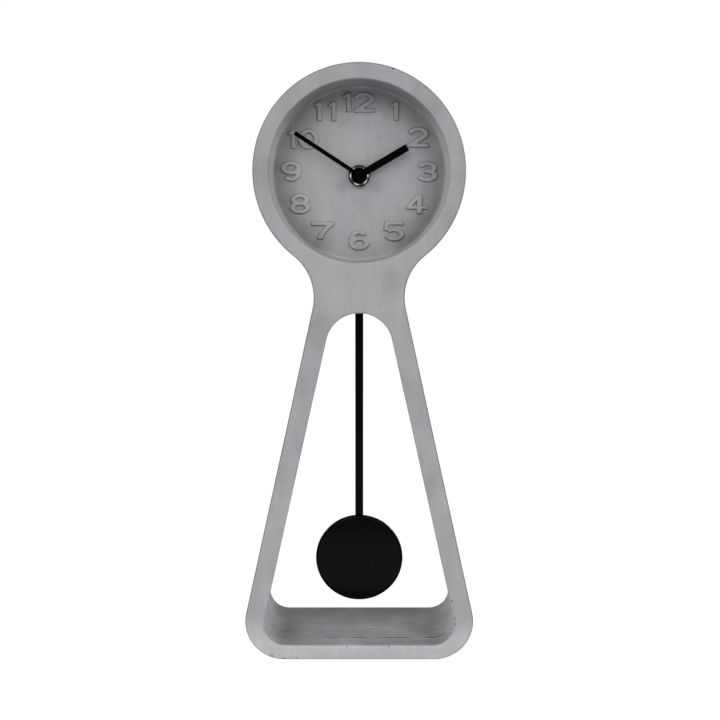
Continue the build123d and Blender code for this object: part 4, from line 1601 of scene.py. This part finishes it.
@dataclass
class Figure:
    """One raised figure as a signed distance on a grid about its middle, built up from strokes.

    Figures are wide and bold, and their grid is later stretched sideways. Most places are given as
    shares of the reach and the rise of the middle line.
    """

    across: Field
    up: Field
    half_width: float = 5.4
    half_height: float = 6.95
    flat_height: float = 6.5
    weight: float = 3.2
    light: float = 2.75
    stretch: float = 1.35

    def __post_init__(self) -> None:
        """Starts with no stroke."""
        self.distance = np.full(self.across.shape, FAR)
        self.reach = self.half_width - self.weight / 2
        self.rise = self.half_height - self.weight / 2

    def stroke(self, points: Sequence[Point], width: float, square: bool = True) -> None:
        """Adds a stroke of even width.

        Args:
            points: Middle line of the stroke.
            width: Width of the stroke.
            square: Whether both ends are cut square instead of round.
        """
        last = len(points) - 2
        for index, (start, end) in enumerate(zip(points, points[1:])):
            length = math.dist(start, end)
            ux, uz = (end[0] - start[0]) / length, (end[1] - start[1]) / length
            dx, dz = self.across - start[0], self.up - start[1]
            along = dx * ux + dz * uz
            over = np.maximum(np.maximum(-along, along - length), 0.0)
            part = np.hypot(dx * uz - dz * ux, over) - width / 2
            if square and index == 0:
                part = np.maximum(part, -along)
            if square and index == last:
                part = np.maximum(part, along - length)
            self.distance = np.minimum(self.distance, part)

    def trim(self, half_width: float, half_height: float) -> None:
        """Cuts off what reaches past the figure's box."""
        box = np.maximum(np.abs(self.across) - half_width, np.abs(self.up) - half_height)
        self.distance = np.maximum(self.distance, box)

    def nought(self) -> None:
        """Tall oval ring."""
        self.stroke(bow((0.0, 0.0), self.reach, self.rise, 0.0, 360.0), self.weight, False)

    def one(self) -> None:
        """Stem with a short slanted flag."""
        stem = 0.25 * self.weight
        rise = self.flat_height - self.weight / 2
        self.stroke([(stem, -self.flat_height), (stem, self.flat_height)], self.light)
        self.stroke([(stem, rise + 0.3), (-0.62 * self.weight, rise - 1.7)], 0.72 * self.weight)
        self.trim(self.half_width, self.flat_height)

    def two(self) -> None:
        """Arch that runs into a slanting back, on a flat foot."""
        arch = 0.57 * self.rise
        back = bow((0.0, self.rise - arch), self.reach, arch, 168.0, -36.0)
        self.stroke([*back, (-0.95 * self.reach, -0.98 * self.rise)], self.weight)
        self.stroke([(-self.half_width, -self.rise), (self.half_width, -self.rise)], self.weight)
        self.trim(self.half_width, self.half_height)

    def three(self) -> None:
        """Two open bowls that meet at a short stub."""
        upper, lower = 0.485 * self.rise, 0.515 * self.rise
        bowl = bow((0.0, self.rise - upper), 0.9 * self.reach, upper, 160.0, -90.0)
        self.stroke(bowl, self.weight)
        self.stroke(bow((0.0, lower - self.rise), self.reach, lower, 90.0, -160.0), self.weight)
        middle = self.rise - 2 * upper
        self.stroke([(-0.45 * self.reach, middle), (0.2 * self.reach, middle)], self.light)

    def four(self) -> None:
        """Closed four: stem, crossbar and slanting back."""
        stem, bar = 0.36 * self.reach, -0.42 * self.rise
        self.stroke([(stem, -self.flat_height), (stem, self.flat_height)], self.weight)
        self.stroke([(-self.half_width, bar), (self.half_width, bar)], self.light)
        self.stroke([(stem, self.flat_height), (-1.12 * self.reach, bar)], self.light)
        self.trim(self.half_width, self.flat_height)

    def five(self) -> None:
        """Flat top, short back and open bowl."""
        bowl = 0.59 * self.rise
        self.stroke([(-0.9 * self.reach, self.rise), (1.3 * self.reach, self.rise)], self.weight)
        self.stroke([(-0.92 * self.reach, self.half_height), (-1.08 * self.reach, 0.0)], self.light)
        self.stroke(bow((0.0, bowl - self.rise), self.reach, bowl, 132.0, -162.0), self.weight)
        self.trim(self.half_width, self.half_height)

    def six(self) -> None:
        """Closed bowl under a back that curls over the top."""
        bowl = 0.6 * self.rise
        self.stroke(bow((0.0, bowl - self.rise), self.reach, bowl, 0.0, 360.0), self.weight, False)
        back = bow((0.0, 0.0), self.reach, self.rise, 46.0, 180.0)
        self.stroke([*back, (-self.reach, bowl - self.rise)], self.weight)

    def seven(self) -> None:
        """Flat top and a leg that bends as it comes down."""
        half = 1.12 * self.half_width
        height = self.flat_height - 0.3
        rise = height - self.weight / 2
        self.stroke([(-half, rise), (half, rise)], self.weight)
        leg = swoop((1.3 * self.reach, rise), (0.0, 0.2 * rise), (-0.45 * self.reach, -height))
        self.stroke(leg, self.weight)
        self.trim(half, height)

    def eight(self) -> None:
        """Two closed bowls, the upper one smaller."""
        upper, lower = 0.48 * self.rise, 0.52 * self.rise
        top = bow((0.0, self.rise - upper), 0.9 * self.reach, upper, 0.0, 360.0)
        self.stroke(top, self.weight, False)
        bottom = bow((0.0, lower - self.rise), self.reach, lower, 0.0, 360.0)
        self.stroke(bottom, self.weight, False)


@dataclass
class Numerals:
    """Twelve raised numbers cast with the dial."""

    workshop: Workshop
    body: CastBody
    ring_radius: float = 45.6
    ring_rise: float = 1.6
    relief: float = 1.1
    slope: float = 0.75
    cell: float = 0.22
    sink: float = 0.12
    steepness: Point = (0.5, 1.2)
    narrow: float = 5.9
    pair_gap: float = 1.0
    narrow_pair_gap: float = 3.6
    single_half_width: float = 9.4
    pair_half_width: float = 12.5
    margin: float = 1.0
    # Painted shade round the base of each number, stronger on one side.
    soil_inset: float = 0.25
    soil_width: float = 0.42
    soil_lean: Point = (-0.175, 0.125)
    soil_level: Point = (0.82, 0.18)
    soil_waves: Point = (0.9, 0.7)
    ten_inward: float = 2.6
    nudges: dict[int, Point] = field(default_factory=lambda: {
        1: (0.9, 0.5), 3: (0.1, 0.0), 4: (-0.8, 1.2), 5: (0.75, 0.0), 7: (-1.7, 0.4),
        8: (-0.3, 1.6), 9: (0.0, 0.35), 11: (0.0, 0.3), 12: (-0.2, 0.0),
    })

    def build(self) -> None:
        """Builds and dresses every number."""
        for number in range(1, 13):
            self.workshop.dress(self.relief_mesh(number), Slot.CONCRETE, "clock")

    def place(self, number: int) -> Point:
        """Middle of a number on the front view.

        Args:
            number: Hour from 1 to 12.

        Returns:
            The place.
        """
        centre = (self.body.head_centre[0], self.body.head_centre[1] + self.ring_rise)
        radius = self.ring_radius - (self.ten_inward if number == 10 else 0.0)
        x, z = away(centre, radius, 90.0 - 30.0 * number)
        right, up = self.nudges.get(number, (0.0, 0.0))
        return (x + right, z + up)

    def drawn(self, number: int, across: Field, up: Field) -> Field:
        """Signed distance of a whole number.

        Args:
            number: Hour from 1 to 12.
            across: Horizontal places about the number's middle.
            up: Vertical places about the number's middle.

        Returns:
            Distances in millimetres, negative inside the figures.
        """
        shapes: list[Callable[[Figure], None]] = [
            Figure.nought, Figure.one, Figure.two, Figure.three, Figure.four, Figure.five,
            Figure.six, Figure.seven, Figure.eight, Figure.six,
        ]
        wide = 2 * Figure.half_width * Figure.stretch
        text = str(number)
        gap = self.narrow_pair_gap if text == "11" else self.pair_gap
        sizes = [self.narrow if digit == "1" else wide for digit in text]
        left = -(sum(sizes) + gap * (len(text) - 1)) / 2
        result = np.full(across.shape, FAR)
        for digit, size in zip(text, sizes):
            turn = -1.0 if digit == "9" else 1.0
            figure = Figure((across - left - size / 2) * turn / Figure.stretch, up * turn)
            shapes[int(digit)](figure)
            result = np.minimum(result, figure.distance)
            left += size + gap
        steep = np.hypot(*np.gradient(result, self.cell))
        return result / np.clip(steep, *self.steepness)

    def grid(self, number: int) -> tuple[Field, Field]:
        """Places of the grid that a number is drawn on.

        Args:
            number: Hour from 1 to 12.

        Returns:
            Horizontal and vertical places about the number's middle.
        """
        half_width = self.pair_half_width if number >= 10 else self.single_half_width
        half_height = Figure.half_height + self.margin
        xs = np.arange(-half_width, half_width + self.cell, self.cell)
        zs = np.arange(-half_height, half_height + self.cell, self.cell)
        return tuple(np.meshgrid(xs, zs))

    def rise(self, distance: Field) -> Field:
        """Height above the dial: rounded over the slope, and sunk a little outside the figure.

        Args:
            distance: Signed distance of the number.

        Returns:
            Heights in millimetres.
        """
        share = np.clip(-distance / self.slope, -1.0, 1.0)
        lifted = np.clip(share, 0.0, 1.0)
        return lifted * lifted * (3 - 2 * lifted) * self.relief + np.minimum(share, 0.0) * self.sink

    def soil(self, number: int, distance: Field, across: Field, up: Field) -> Field:
        """Painted shade round the edge of a number, uneven and darker on one side.

        Args:
            number: Hour from 1 to 12.
            distance: Signed distance of the number.
            across: Horizontal places about the number's middle.
            up: Vertical places about the number's middle.

        Returns:
            Strength of the painted shade.
        """
        fall = np.gradient(distance, self.cell)
        lean = fall[1] * self.soil_lean[0] - fall[0] * self.soil_lean[1]
        wave_across, wave_up = self.soil_waves
        waves = np.sin(across * wave_across + number) * np.cos(up * wave_up - number)
        sway = self.soil_level[0] + self.soil_level[1] * waves
        return np.exp(-((distance + self.soil_inset) / self.soil_width) ** 2) * (sway + lean)

    def relief_mesh(self, number: int) -> Item:
        """Raised skin of one number.

        Args:
            number: Hour from 1 to 12.

        Returns:
            The linked object.
        """
        across, up = self.grid(number)
        distance = self.drawn(number, across, up)
        rise = self.rise(distance)
        soil = self.soil(number, distance, across, up)
        kept = distance < self.slope
        cells = kept[:-1, :-1] | kept[1:, :-1] | kept[:-1, 1:] | kept[1:, 1:]
        used = np.zeros(kept.shape, bool)
        for row, column in ((0, 0), (0, 1), (1, 0), (1, 1)):
            used[row:row + cells.shape[0], column:column + cells.shape[1]] |= cells
        index = np.cumsum(used).reshape(used.shape) - 1
        middle = self.place(number)
        front = self.body.dial_depth - HALF_DEPTH
        places = [middle[0] + across[used], front - rise[used], middle[1] + up[used]]
        verts = np.stack(places, axis=1) * MM
        rows, columns = np.nonzero(cells)
        faces = np.stack([
            index[rows, columns], index[rows, columns + 1],
            index[rows + 1, columns + 1], index[rows + 1, columns],
        ], axis=1)
        name = f"numeral_{number}"
        mesh = bpy.data.meshes.new(name)
        mesh.from_pydata(verts.tolist(), [], faces.tolist())
        smooth(mesh)
        # The painted shade goes into the arris attribute, which the concrete finish darkens.
        mark = mesh.attributes.new("arris", "FLOAT", "POINT")
        mark.data.foreach_set("value", soil[used].astype(np.float32))
        return linked(mesh, name)


# Centre fitting and hands

@dataclass
class CentreFitting:
    """Washer and polished nut on the dial, and the cap over the hands."""

    workshop: Workshop
    shaft: Point
    nut_radius: float = 7.2
    groove_radius: float = 6.15
    groove_half_width: float = 0.5
    groove_depth: float = 0.35
    nut_front: float = 17.3
    nut_back: float = 19.5
    bore: float = 3.98
    bore_round: float = 0.5
    bore_step: float = 0.6
    heel_corner: float = 0.15
    rim_corner: float = 0.5
    mouth_corner: float = 0.25
    fine_corner: float = 0.1
    marked_half_width: float = 0.55
    marked_back: float = 19.1
    # Painted glints: angles round the groove where the nut is painted bright, and their levels.
    glint_width: float = 15.0
    glint_level: Point = (0.05, 0.95)
    glints: tuple[Point, ...] = (
        (5.0, 1.0), (60.0, 0.3), (90.0, 0.25), (130.0, 0.35),
        (184.0, 0.9), (251.0, 1.0), (316.0, 1.0),
    )
    cap_radius: float = 3.2
    cap_crown_radius: float = 2.24
    cap_front: float = 13.1
    cap_shoulder: float = 13.65
    cap_back: float = 14.2
    cap_crown_corner: float = 0.6
    cap_rim_corner: float = 0.3
    cap_back_corner: float = 0.05
    corner_steps: int = 6

    def build(self) -> None:
        """Builds and dresses the fitting."""
        nut = spun("polished_nut", rounded_profile([
            (self.bore, self.nut_back, 0.0),
            (self.nut_radius, self.nut_back, self.heel_corner),
            (self.nut_radius, self.nut_front, self.rim_corner),
            (self.groove_radius + self.groove_half_width, self.nut_front, self.fine_corner),
            (self.groove_radius, self.nut_front + self.groove_depth, self.fine_corner),
            (self.groove_radius - self.groove_half_width, self.nut_front, self.fine_corner),
            (self.bore + self.bore_round, self.nut_front, self.mouth_corner),
            (self.bore, self.nut_front + self.bore_step, self.fine_corner),
            (self.bore, self.nut_back, 0.0),
        ], self.corner_steps), self.shaft)
        self.mark_bevel(nut)
        self.workshop.dress(settled(nut), Slot.CHROME, "clock", "centre_nut")
        cap = spun("domed_cap", rounded_profile([
            (0.0, self.cap_front, 0.0),
            (self.cap_crown_radius, self.cap_front, self.cap_crown_corner),
            (self.cap_radius, self.cap_shoulder, self.cap_rim_corner),
            (self.cap_radius, self.cap_back, self.cap_back_corner),
            (0.0, self.cap_back, 0.0),
        ], self.corner_steps), self.shaft)
        self.workshop.dress(settled(cap), Slot.HANDS, "minute", "hand_cap")
        self.workshop.coat_nodes({
            Slot.CHROME: "front_washer", Slot.BRASS: "threaded_bush", Slot.RUBBER: "rubber_washer",
        })

    def mark_bevel(self, nut: Item) -> None:
        """Marks painted glints: bright metal colour on parts of the ring's turned groove.

        Args:
            nut: The ring.
        """
        mark = nut.data.attributes.new("bevel", "FLOAT", "POINT")
        for index, vertex in enumerate(nut.data.vertices):
            across, up = vertex.co.x / MM - self.shaft[0], vertex.co.z / MM - self.shaft[1]
            off_groove = abs(math.hypot(across, up) - self.groove_radius)
            depth = vertex.co.y / MM + HALF_DEPTH
            if off_groove > self.marked_half_width or depth > self.marked_back:
                continue
            turn = angle_of(across, up) % 360.0
            bright = [
                level * math.exp(-(((turn - spot + 180.0) % 360.0 - 180.0) / self.glint_width) ** 2)
                for spot, level in self.glints
            ]
            mark.data[index].value = self.glint_level[0] + self.glint_level[1] * max(bright)


@dataclass
class Hand:
    """Flat stamped hand with a square end and a round boss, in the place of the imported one."""

    workshop: Workshop
    shaft: Point
    name: str
    node: str
    body: str
    length: float
    width: float
    boss_radius: float
    angle: float
    edge: float = 0.1
    point_step: float = 0.6
    bore_count: int = 48

    def build(self) -> None:
        """Builds and dresses the hand."""
        front, back = (corner.y / MM + HALF_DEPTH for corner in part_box(self.node))
        edges = [
            (-self.edge, front), (0.0, front + self.edge),
            (0.0, back - self.edge), (-self.edge, back),
        ]
        outline = self.outline()
        hole = circle(self.shaft, self.bore(), self.bore_count)
        casting = Casting()
        outer = casting.wall(outline, outward(outline), edges)
        inner = casting.wall(hole, inward(hole), edges)
        casting.fill(outer[0], inner[0])
        casting.fill(outer[-1], inner[-1])
        self.workshop.dress(settled(casting.finished(self.name)), Slot.HANDS, self.body, self.node)

    def bore(self) -> float:
        """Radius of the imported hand's bore, from its nearest point to the shaft."""
        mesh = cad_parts[self.node].data
        return min(math.dist((v.co.x / MM, v.co.z / MM), self.shaft) for v in mesh.vertices)

    def outline(self) -> list[Point]:
        """Outline of the boss and blade.

        Returns:
            Its points, anticlockwise.
        """
        half = self.width / 2
        open_angle = math.degrees(math.asin(half / self.boss_radius))
        tip = away(self.shaft, self.length, self.angle)
        points = [away(tip, half, self.angle - 90.0), away(tip, half, self.angle + 90.0)]
        first, last = self.angle + open_angle, self.angle + 360.0 - open_angle
        points += arc(self.shaft, self.boss_radius, first, last, self.point_step)
        return spread(points, 2 * self.point_step)


@dataclass
class Movement:
    """The battery movement behind the dial, with its train, motor and cell."""

    workshop: Workshop
    cover_back: float = 47.0
    mark_rise: float = 0.25
    mark_edge: float = 0.075
    mark_arm: float = 1.5
    mark_width: float = 0.7
    mark_across: float = 22.0
    mark_height: float = 338.6
    knob_centre: Point = (8.11, 323.42)
    knob_radius: float = 5.0
    knob_front: float = 47.3
    knob_back: float = 50.3
    knob_ribs: int = 22
    rib_points: int = 6
    rib_depth: float = 0.5
    knob_shoulder: Point = (-0.4 / 3, 50.2)
    dish_radius: float = 2.7
    dish_depth: float = 0.4
    dish_count: int = 48
    knob_sharp: float = 35.0

    def polarity_marks(self) -> None:
        """Raised plus and minus under the ends of the battery bay."""
        arm, half = self.mark_arm, self.mark_width / 2
        minus = [(-arm, -half), (arm, -half), (arm, half), (-arm, half)]
        plus = [
            (-half, -arm), (half, -arm), (half, -half), (arm, -half), (arm, half), (half, half),
            (half, arm), (-half, arm), (-half, half), (-arm, half), (-arm, -half), (-half, -half),
        ]
        top = self.cover_back + self.mark_rise
        profile = [
            (0.0, self.cover_back - self.mark_rise),
            (0.0, top - self.mark_edge),
            (-self.mark_edge, top),
        ]
        for name, shape, side in (("polarity_plus", plus, 1.0), ("polarity_minus", minus, -1.0)):
            outline = [(x + side * self.mark_across, z + self.mark_height) for x, z in shape]
            casting = Casting()
            rings = casting.wall(outline, outward(outline), profile)
            casting.fill(rings[0])
            casting.fill(rings[-1])
            self.workshop.dress(settled(casting.finished(name)), Slot.BLACK_PLASTIC, "clock")

    def ribbed_knob(self) -> None:
        """Set knob with ribs for the fingertips and a dished face."""
        count = self.knob_ribs * self.rib_points
        outline = []
        for index in range(count):
            turn = 360.0 * index / count
            dip = self.rib_depth * (0.5 - 0.5 * math.cos(math.radians(turn * self.knob_ribs)))
            outline.append(away(self.knob_centre, self.knob_radius - dip, turn))
        dish_floor = self.knob_back - self.dish_depth
        casting = Casting()
        rings = casting.wall(outline, outward(circle(self.knob_centre, self.knob_radius, count)), [
            (0.0, self.knob_front), (0.0, dish_floor), self.knob_shoulder,
            (-self.dish_depth, self.knob_back),
        ])
        dish = casting.turned([
            (self.dish_radius, self.knob_back), (self.dish_radius - self.dish_depth, dish_floor),
        ], self.knob_centre, self.dish_count)
        casting.fill(rings[0])
        casting.fill(rings[-1], dish[0])
        casting.fill(dish[-1])
        knob = settled(casting.finished("ribbed_knob"), self.knob_sharp)
        self.workshop.dress(knob, Slot.BLACK_PLASTIC, "motion", "set_knob")

    def build(self) -> None:
        """Makes the marks and the knob, and dresses the movement's nodes."""
        self.polarity_marks()
        self.ribbed_knob()
        self.workshop.coat_nodes({
            Slot.BLACK_PLASTIC: "movement_front_shell movement_back_cover",
            Slot.WHITE_PLASTIC: (
                "gear_plate hour_wheel motion_wheel centre_wheel third_wheel seconds_wheel"
                " intermediate_wheel rotor_pinion pendulum_hanger"
            ),
            Slot.STEEL: (
                "minute_arbor motor_stator coil_core quartz_crystal battery_positive_contact"
                " battery_negative_contact pivot_pin"
            ),
            Slot.MAGNET: "rotor_magnet pendulum_magnet",
            Slot.WINDING: "motor_coil drive_coil",
            Slot.BOARD: "circuit_board",
            Slot.CELL: "battery",
        })


@dataclass
class Pendulum:
    """Flat rod and domed bob."""

    workshop: Workshop
    bob_height: float = 59.8
    bob_radius: float = 31.2
    bob_front: float = 34.2
    bob_back: float = 40.0
    bob_count: int = 128
    bob_sharp: float = 50.0
    crown: float = 3.0
    rim_round: float = 2.0
    sheet: float = 0.8
    dome_steps: int = 24
    rim_steps: int = 8

    def dome(self, inset: float) -> list[Point]:
        """Profile of the dome from its middle to the open rim, as (radius, depth).

        Args:
            inset: How far it lies inside the outer skin.

        Returns:
            The profile's points.
        """
        radius, front, rim = self.bob_radius - inset, self.bob_front + inset, self.rim_round - inset
        ball = (self.bob_radius ** 2 + self.crown ** 2) / (2 * self.crown)
        edge = radius - rim
        points = []
        for step in range(self.dome_steps + 1):
            reach = edge * step / self.dome_steps
            points.append((reach, front + ball - math.sqrt(ball * ball - reach * reach)))
        slope = math.asin(edge / ball)
        last = points[-1]
        centre = (last[0] - rim * math.sin(slope), last[1] + rim * math.cos(slope))
        spare = radius - centre[0] - rim
        for step in range(1, self.rim_steps + 1):
            share = step / self.rim_steps
            angle = slope + (math.pi / 2 - slope) * share
            reach = min(radius, centre[0] + rim * math.sin(angle) + spare * share)
            points.append((reach, centre[1] - rim * math.cos(angle)))
        return points

    def build(self) -> None:
        """Builds and dresses the pendulum."""
        rim = [(self.bob_radius, self.bob_back), (self.bob_radius - self.sheet, self.bob_back)]
        profile = [*self.dome(0.0), *rim, *reversed(self.dome(self.sheet))]
        bob = spun("domed_bob", profile, (0.0, self.bob_height), self.bob_count)
        self.workshop.dress(settled(bob, self.bob_sharp), Slot.BOB, "pendulum", "pendulum_bob")
        self.workshop.coat_nodes({
            Slot.ROD: "pendulum_rod", Slot.BOB: "bob_back_plate", Slot.STEEL: "bob_clip",
        })


# Studio

@dataclass(frozen=True)
class SoftBox:
    """Soft box: its name, its place, width and height in metres, and its power in watts."""

    name: str
    place: Place
    size: Point
    power: float


@dataclass
class Studio:
    """Camera, soft lights, pale floor and white background.

    A high pair of boxes does most of the work, and the others fill the sides and the back.
    """

    lens: float = 47.858
    sensor: float = 36.0
    pitch: float = 5.964
    camera_place: Place = (0.54, -670.12, 273.01)
    aim: Place = (0.0, 0.0, 0.22)
    pairs: tuple[SoftBox, ...] = (
        SoftBox("high_box", (0.8, -0.9, 1.2), (0.8, 0.8), 7.6),
        SoftBox("side_box", (1.23, -0.86, 0.55), (0.8, 1.0), 0.8),
        SoftBox("wide_box", (1.45, -0.30, 0.75), (0.8, 1.0), 4.0),
        SoftBox("back_box", (0.95, 1.25, 0.34), (0.8, 0.5), 11.5),
    )
    front: SoftBox = SoftBox("front_box", (0.0, -1.6, 1.3), (1.2, 0.6), 3.0)
    white: Colour = (1.0, 1.0, 1.0)
    fill_colour: Colour = (0.93, 0.95, 1.0)
    fill: float = 0.19
    sky_gloss: float = 0.12
    floor_size: float = 2.6
    floor_colour: Colour = (0.9, 0.9, 0.9)
    floor_roughness: float = 0.9
    floor_shine: float = 0.1
    floor_gloss: float = 0.5
    floor_glow: float = 1.1
    floor_fade: Ramp = Ramp(0.25, 0.9, 0.84, 1.0)

    def camera(self) -> None:
        """Makes the camera at the photograph's viewing angle."""
        data = bpy.data.cameras.new("camera")
        data.lens = self.lens
        data.sensor_width = self.sensor
        item = linked(data, "camera")
        item.location = tuple(part * MM for part in self.camera_place)
        item.rotation_euler = (math.radians(90.0 - self.pitch), 0.0, 0.0)
        bpy.context.scene.camera = item

    def stand(self, box: SoftBox, prefix: str = "", side: float = 1.0) -> None:
        """Puts up one soft box.

        Args:
            box: The soft box, as it stands on the right.
            prefix: What its name starts with.
            side: Minus one to stand it on the left.
        """
        data = bpy.data.lights.new(prefix + box.name, "AREA")
        data.shape = "RECTANGLE"
        data.size, data.size_y = box.size
        data.energy = box.power
        item = linked(data, prefix + box.name)
        item.location = (side * box.place[0], *box.place[1:])
        item.rotation_euler = (Vector(self.aim) - item.location).to_track_quat("-Z", "Y").to_euler()

    def world(self) -> None:
        """Makes a background, white to the camera, gloss and glass, and a dim fill to the rest."""
        world = bpy.data.worlds.new("studio")
        world.use_nodes = True
        bpy.context.scene.world = world
        nodes = Nodes(world.node_tree)
        fill = nodes.glow("ShaderNodeBackground", self.fill_colour, self.fill)
        white = nodes.glow("ShaderNodeBackground", self.white, 1.0)
        nodes.lay_over(nodes.seen(self.sky_gloss), fill, white, "World Output")

    def floor(self) -> None:
        """Makes the pale floor, which keeps the object's shadow."""
        half = self.floor_size / 2
        corners = [(-half, -half, 0.0), (half, -half, 0.0), (half, half, 0.0), (-half, half, 0.0)]
        mesh = bpy.data.meshes.new("floor")
        mesh.from_pydata(corners, [], [(0, 1, 2, 3)])
        sheet = Sheet("floor_paper")
        sheet.finish(self.floor_colour, self.floor_roughness, self.floor_shine)
        glow = sheet.glow("ShaderNodeEmission", self.white, self.floor_glow)
        reach = sheet.node("ShaderNodeVectorMath", operation="LENGTH")
        sheet.feed(reach.inputs[0], sheet.place)
        fade = sheet.ramp(reach.outputs["Value"], self.floor_fade)
        share = sheet.times(sheet.seen(self.floor_gloss), fade)
        sheet.lay_over(share, sheet.shader.outputs[0], glow, "Material Output")
        mesh.materials.append(sheet.material)
        linked(mesh, "floor")

    def build(self) -> None:
        """Sets up the studio."""
        bpy.context.scene.view_settings.view_transform = "Standard"
        self.camera()
        for prefix, side in (("left_", -1.0), ("right_", 1.0)):
            for box in self.pairs:
                self.stand(box, prefix, side)
        self.stand(self.front)
        self.world()
        self.floor()


def main() -> None:
    """Builds the clock in order."""
    logging.basicConfig(level=logging.INFO, format="%(name)s: %(message)s")
    workshop = Workshop()
    body = CastBody(workshop)
    dial_y = body.dial_depth - HALF_DEPTH
    workshop.coats.update(finishes(CastConcrete(body.head_centre, body.dial_radius, dial_y)))
    body.build()
    Numerals(workshop, body).build()
    CentreFitting(workshop, body.shaft).build()
    Hand(
        workshop, body.shaft, name="broad_hour_hand", node="hour_hand", body="hour",
        length=37.1, width=4.8, boss_radius=5.2, angle=30.0,
    ).build()
    Hand(
        workshop, body.shaft, name="slim_minute_hand", node="minute_hand", body="minute",
        length=51.1, width=2.8, boss_radius=3.6, angle=147.0,
    ).build()
    Movement(workshop).build()
    Pendulum(workshop).build()
    Studio().build()
    LOG.info("%d pieces made", len(workshop.made))


if __name__ == "__main__":
    main()
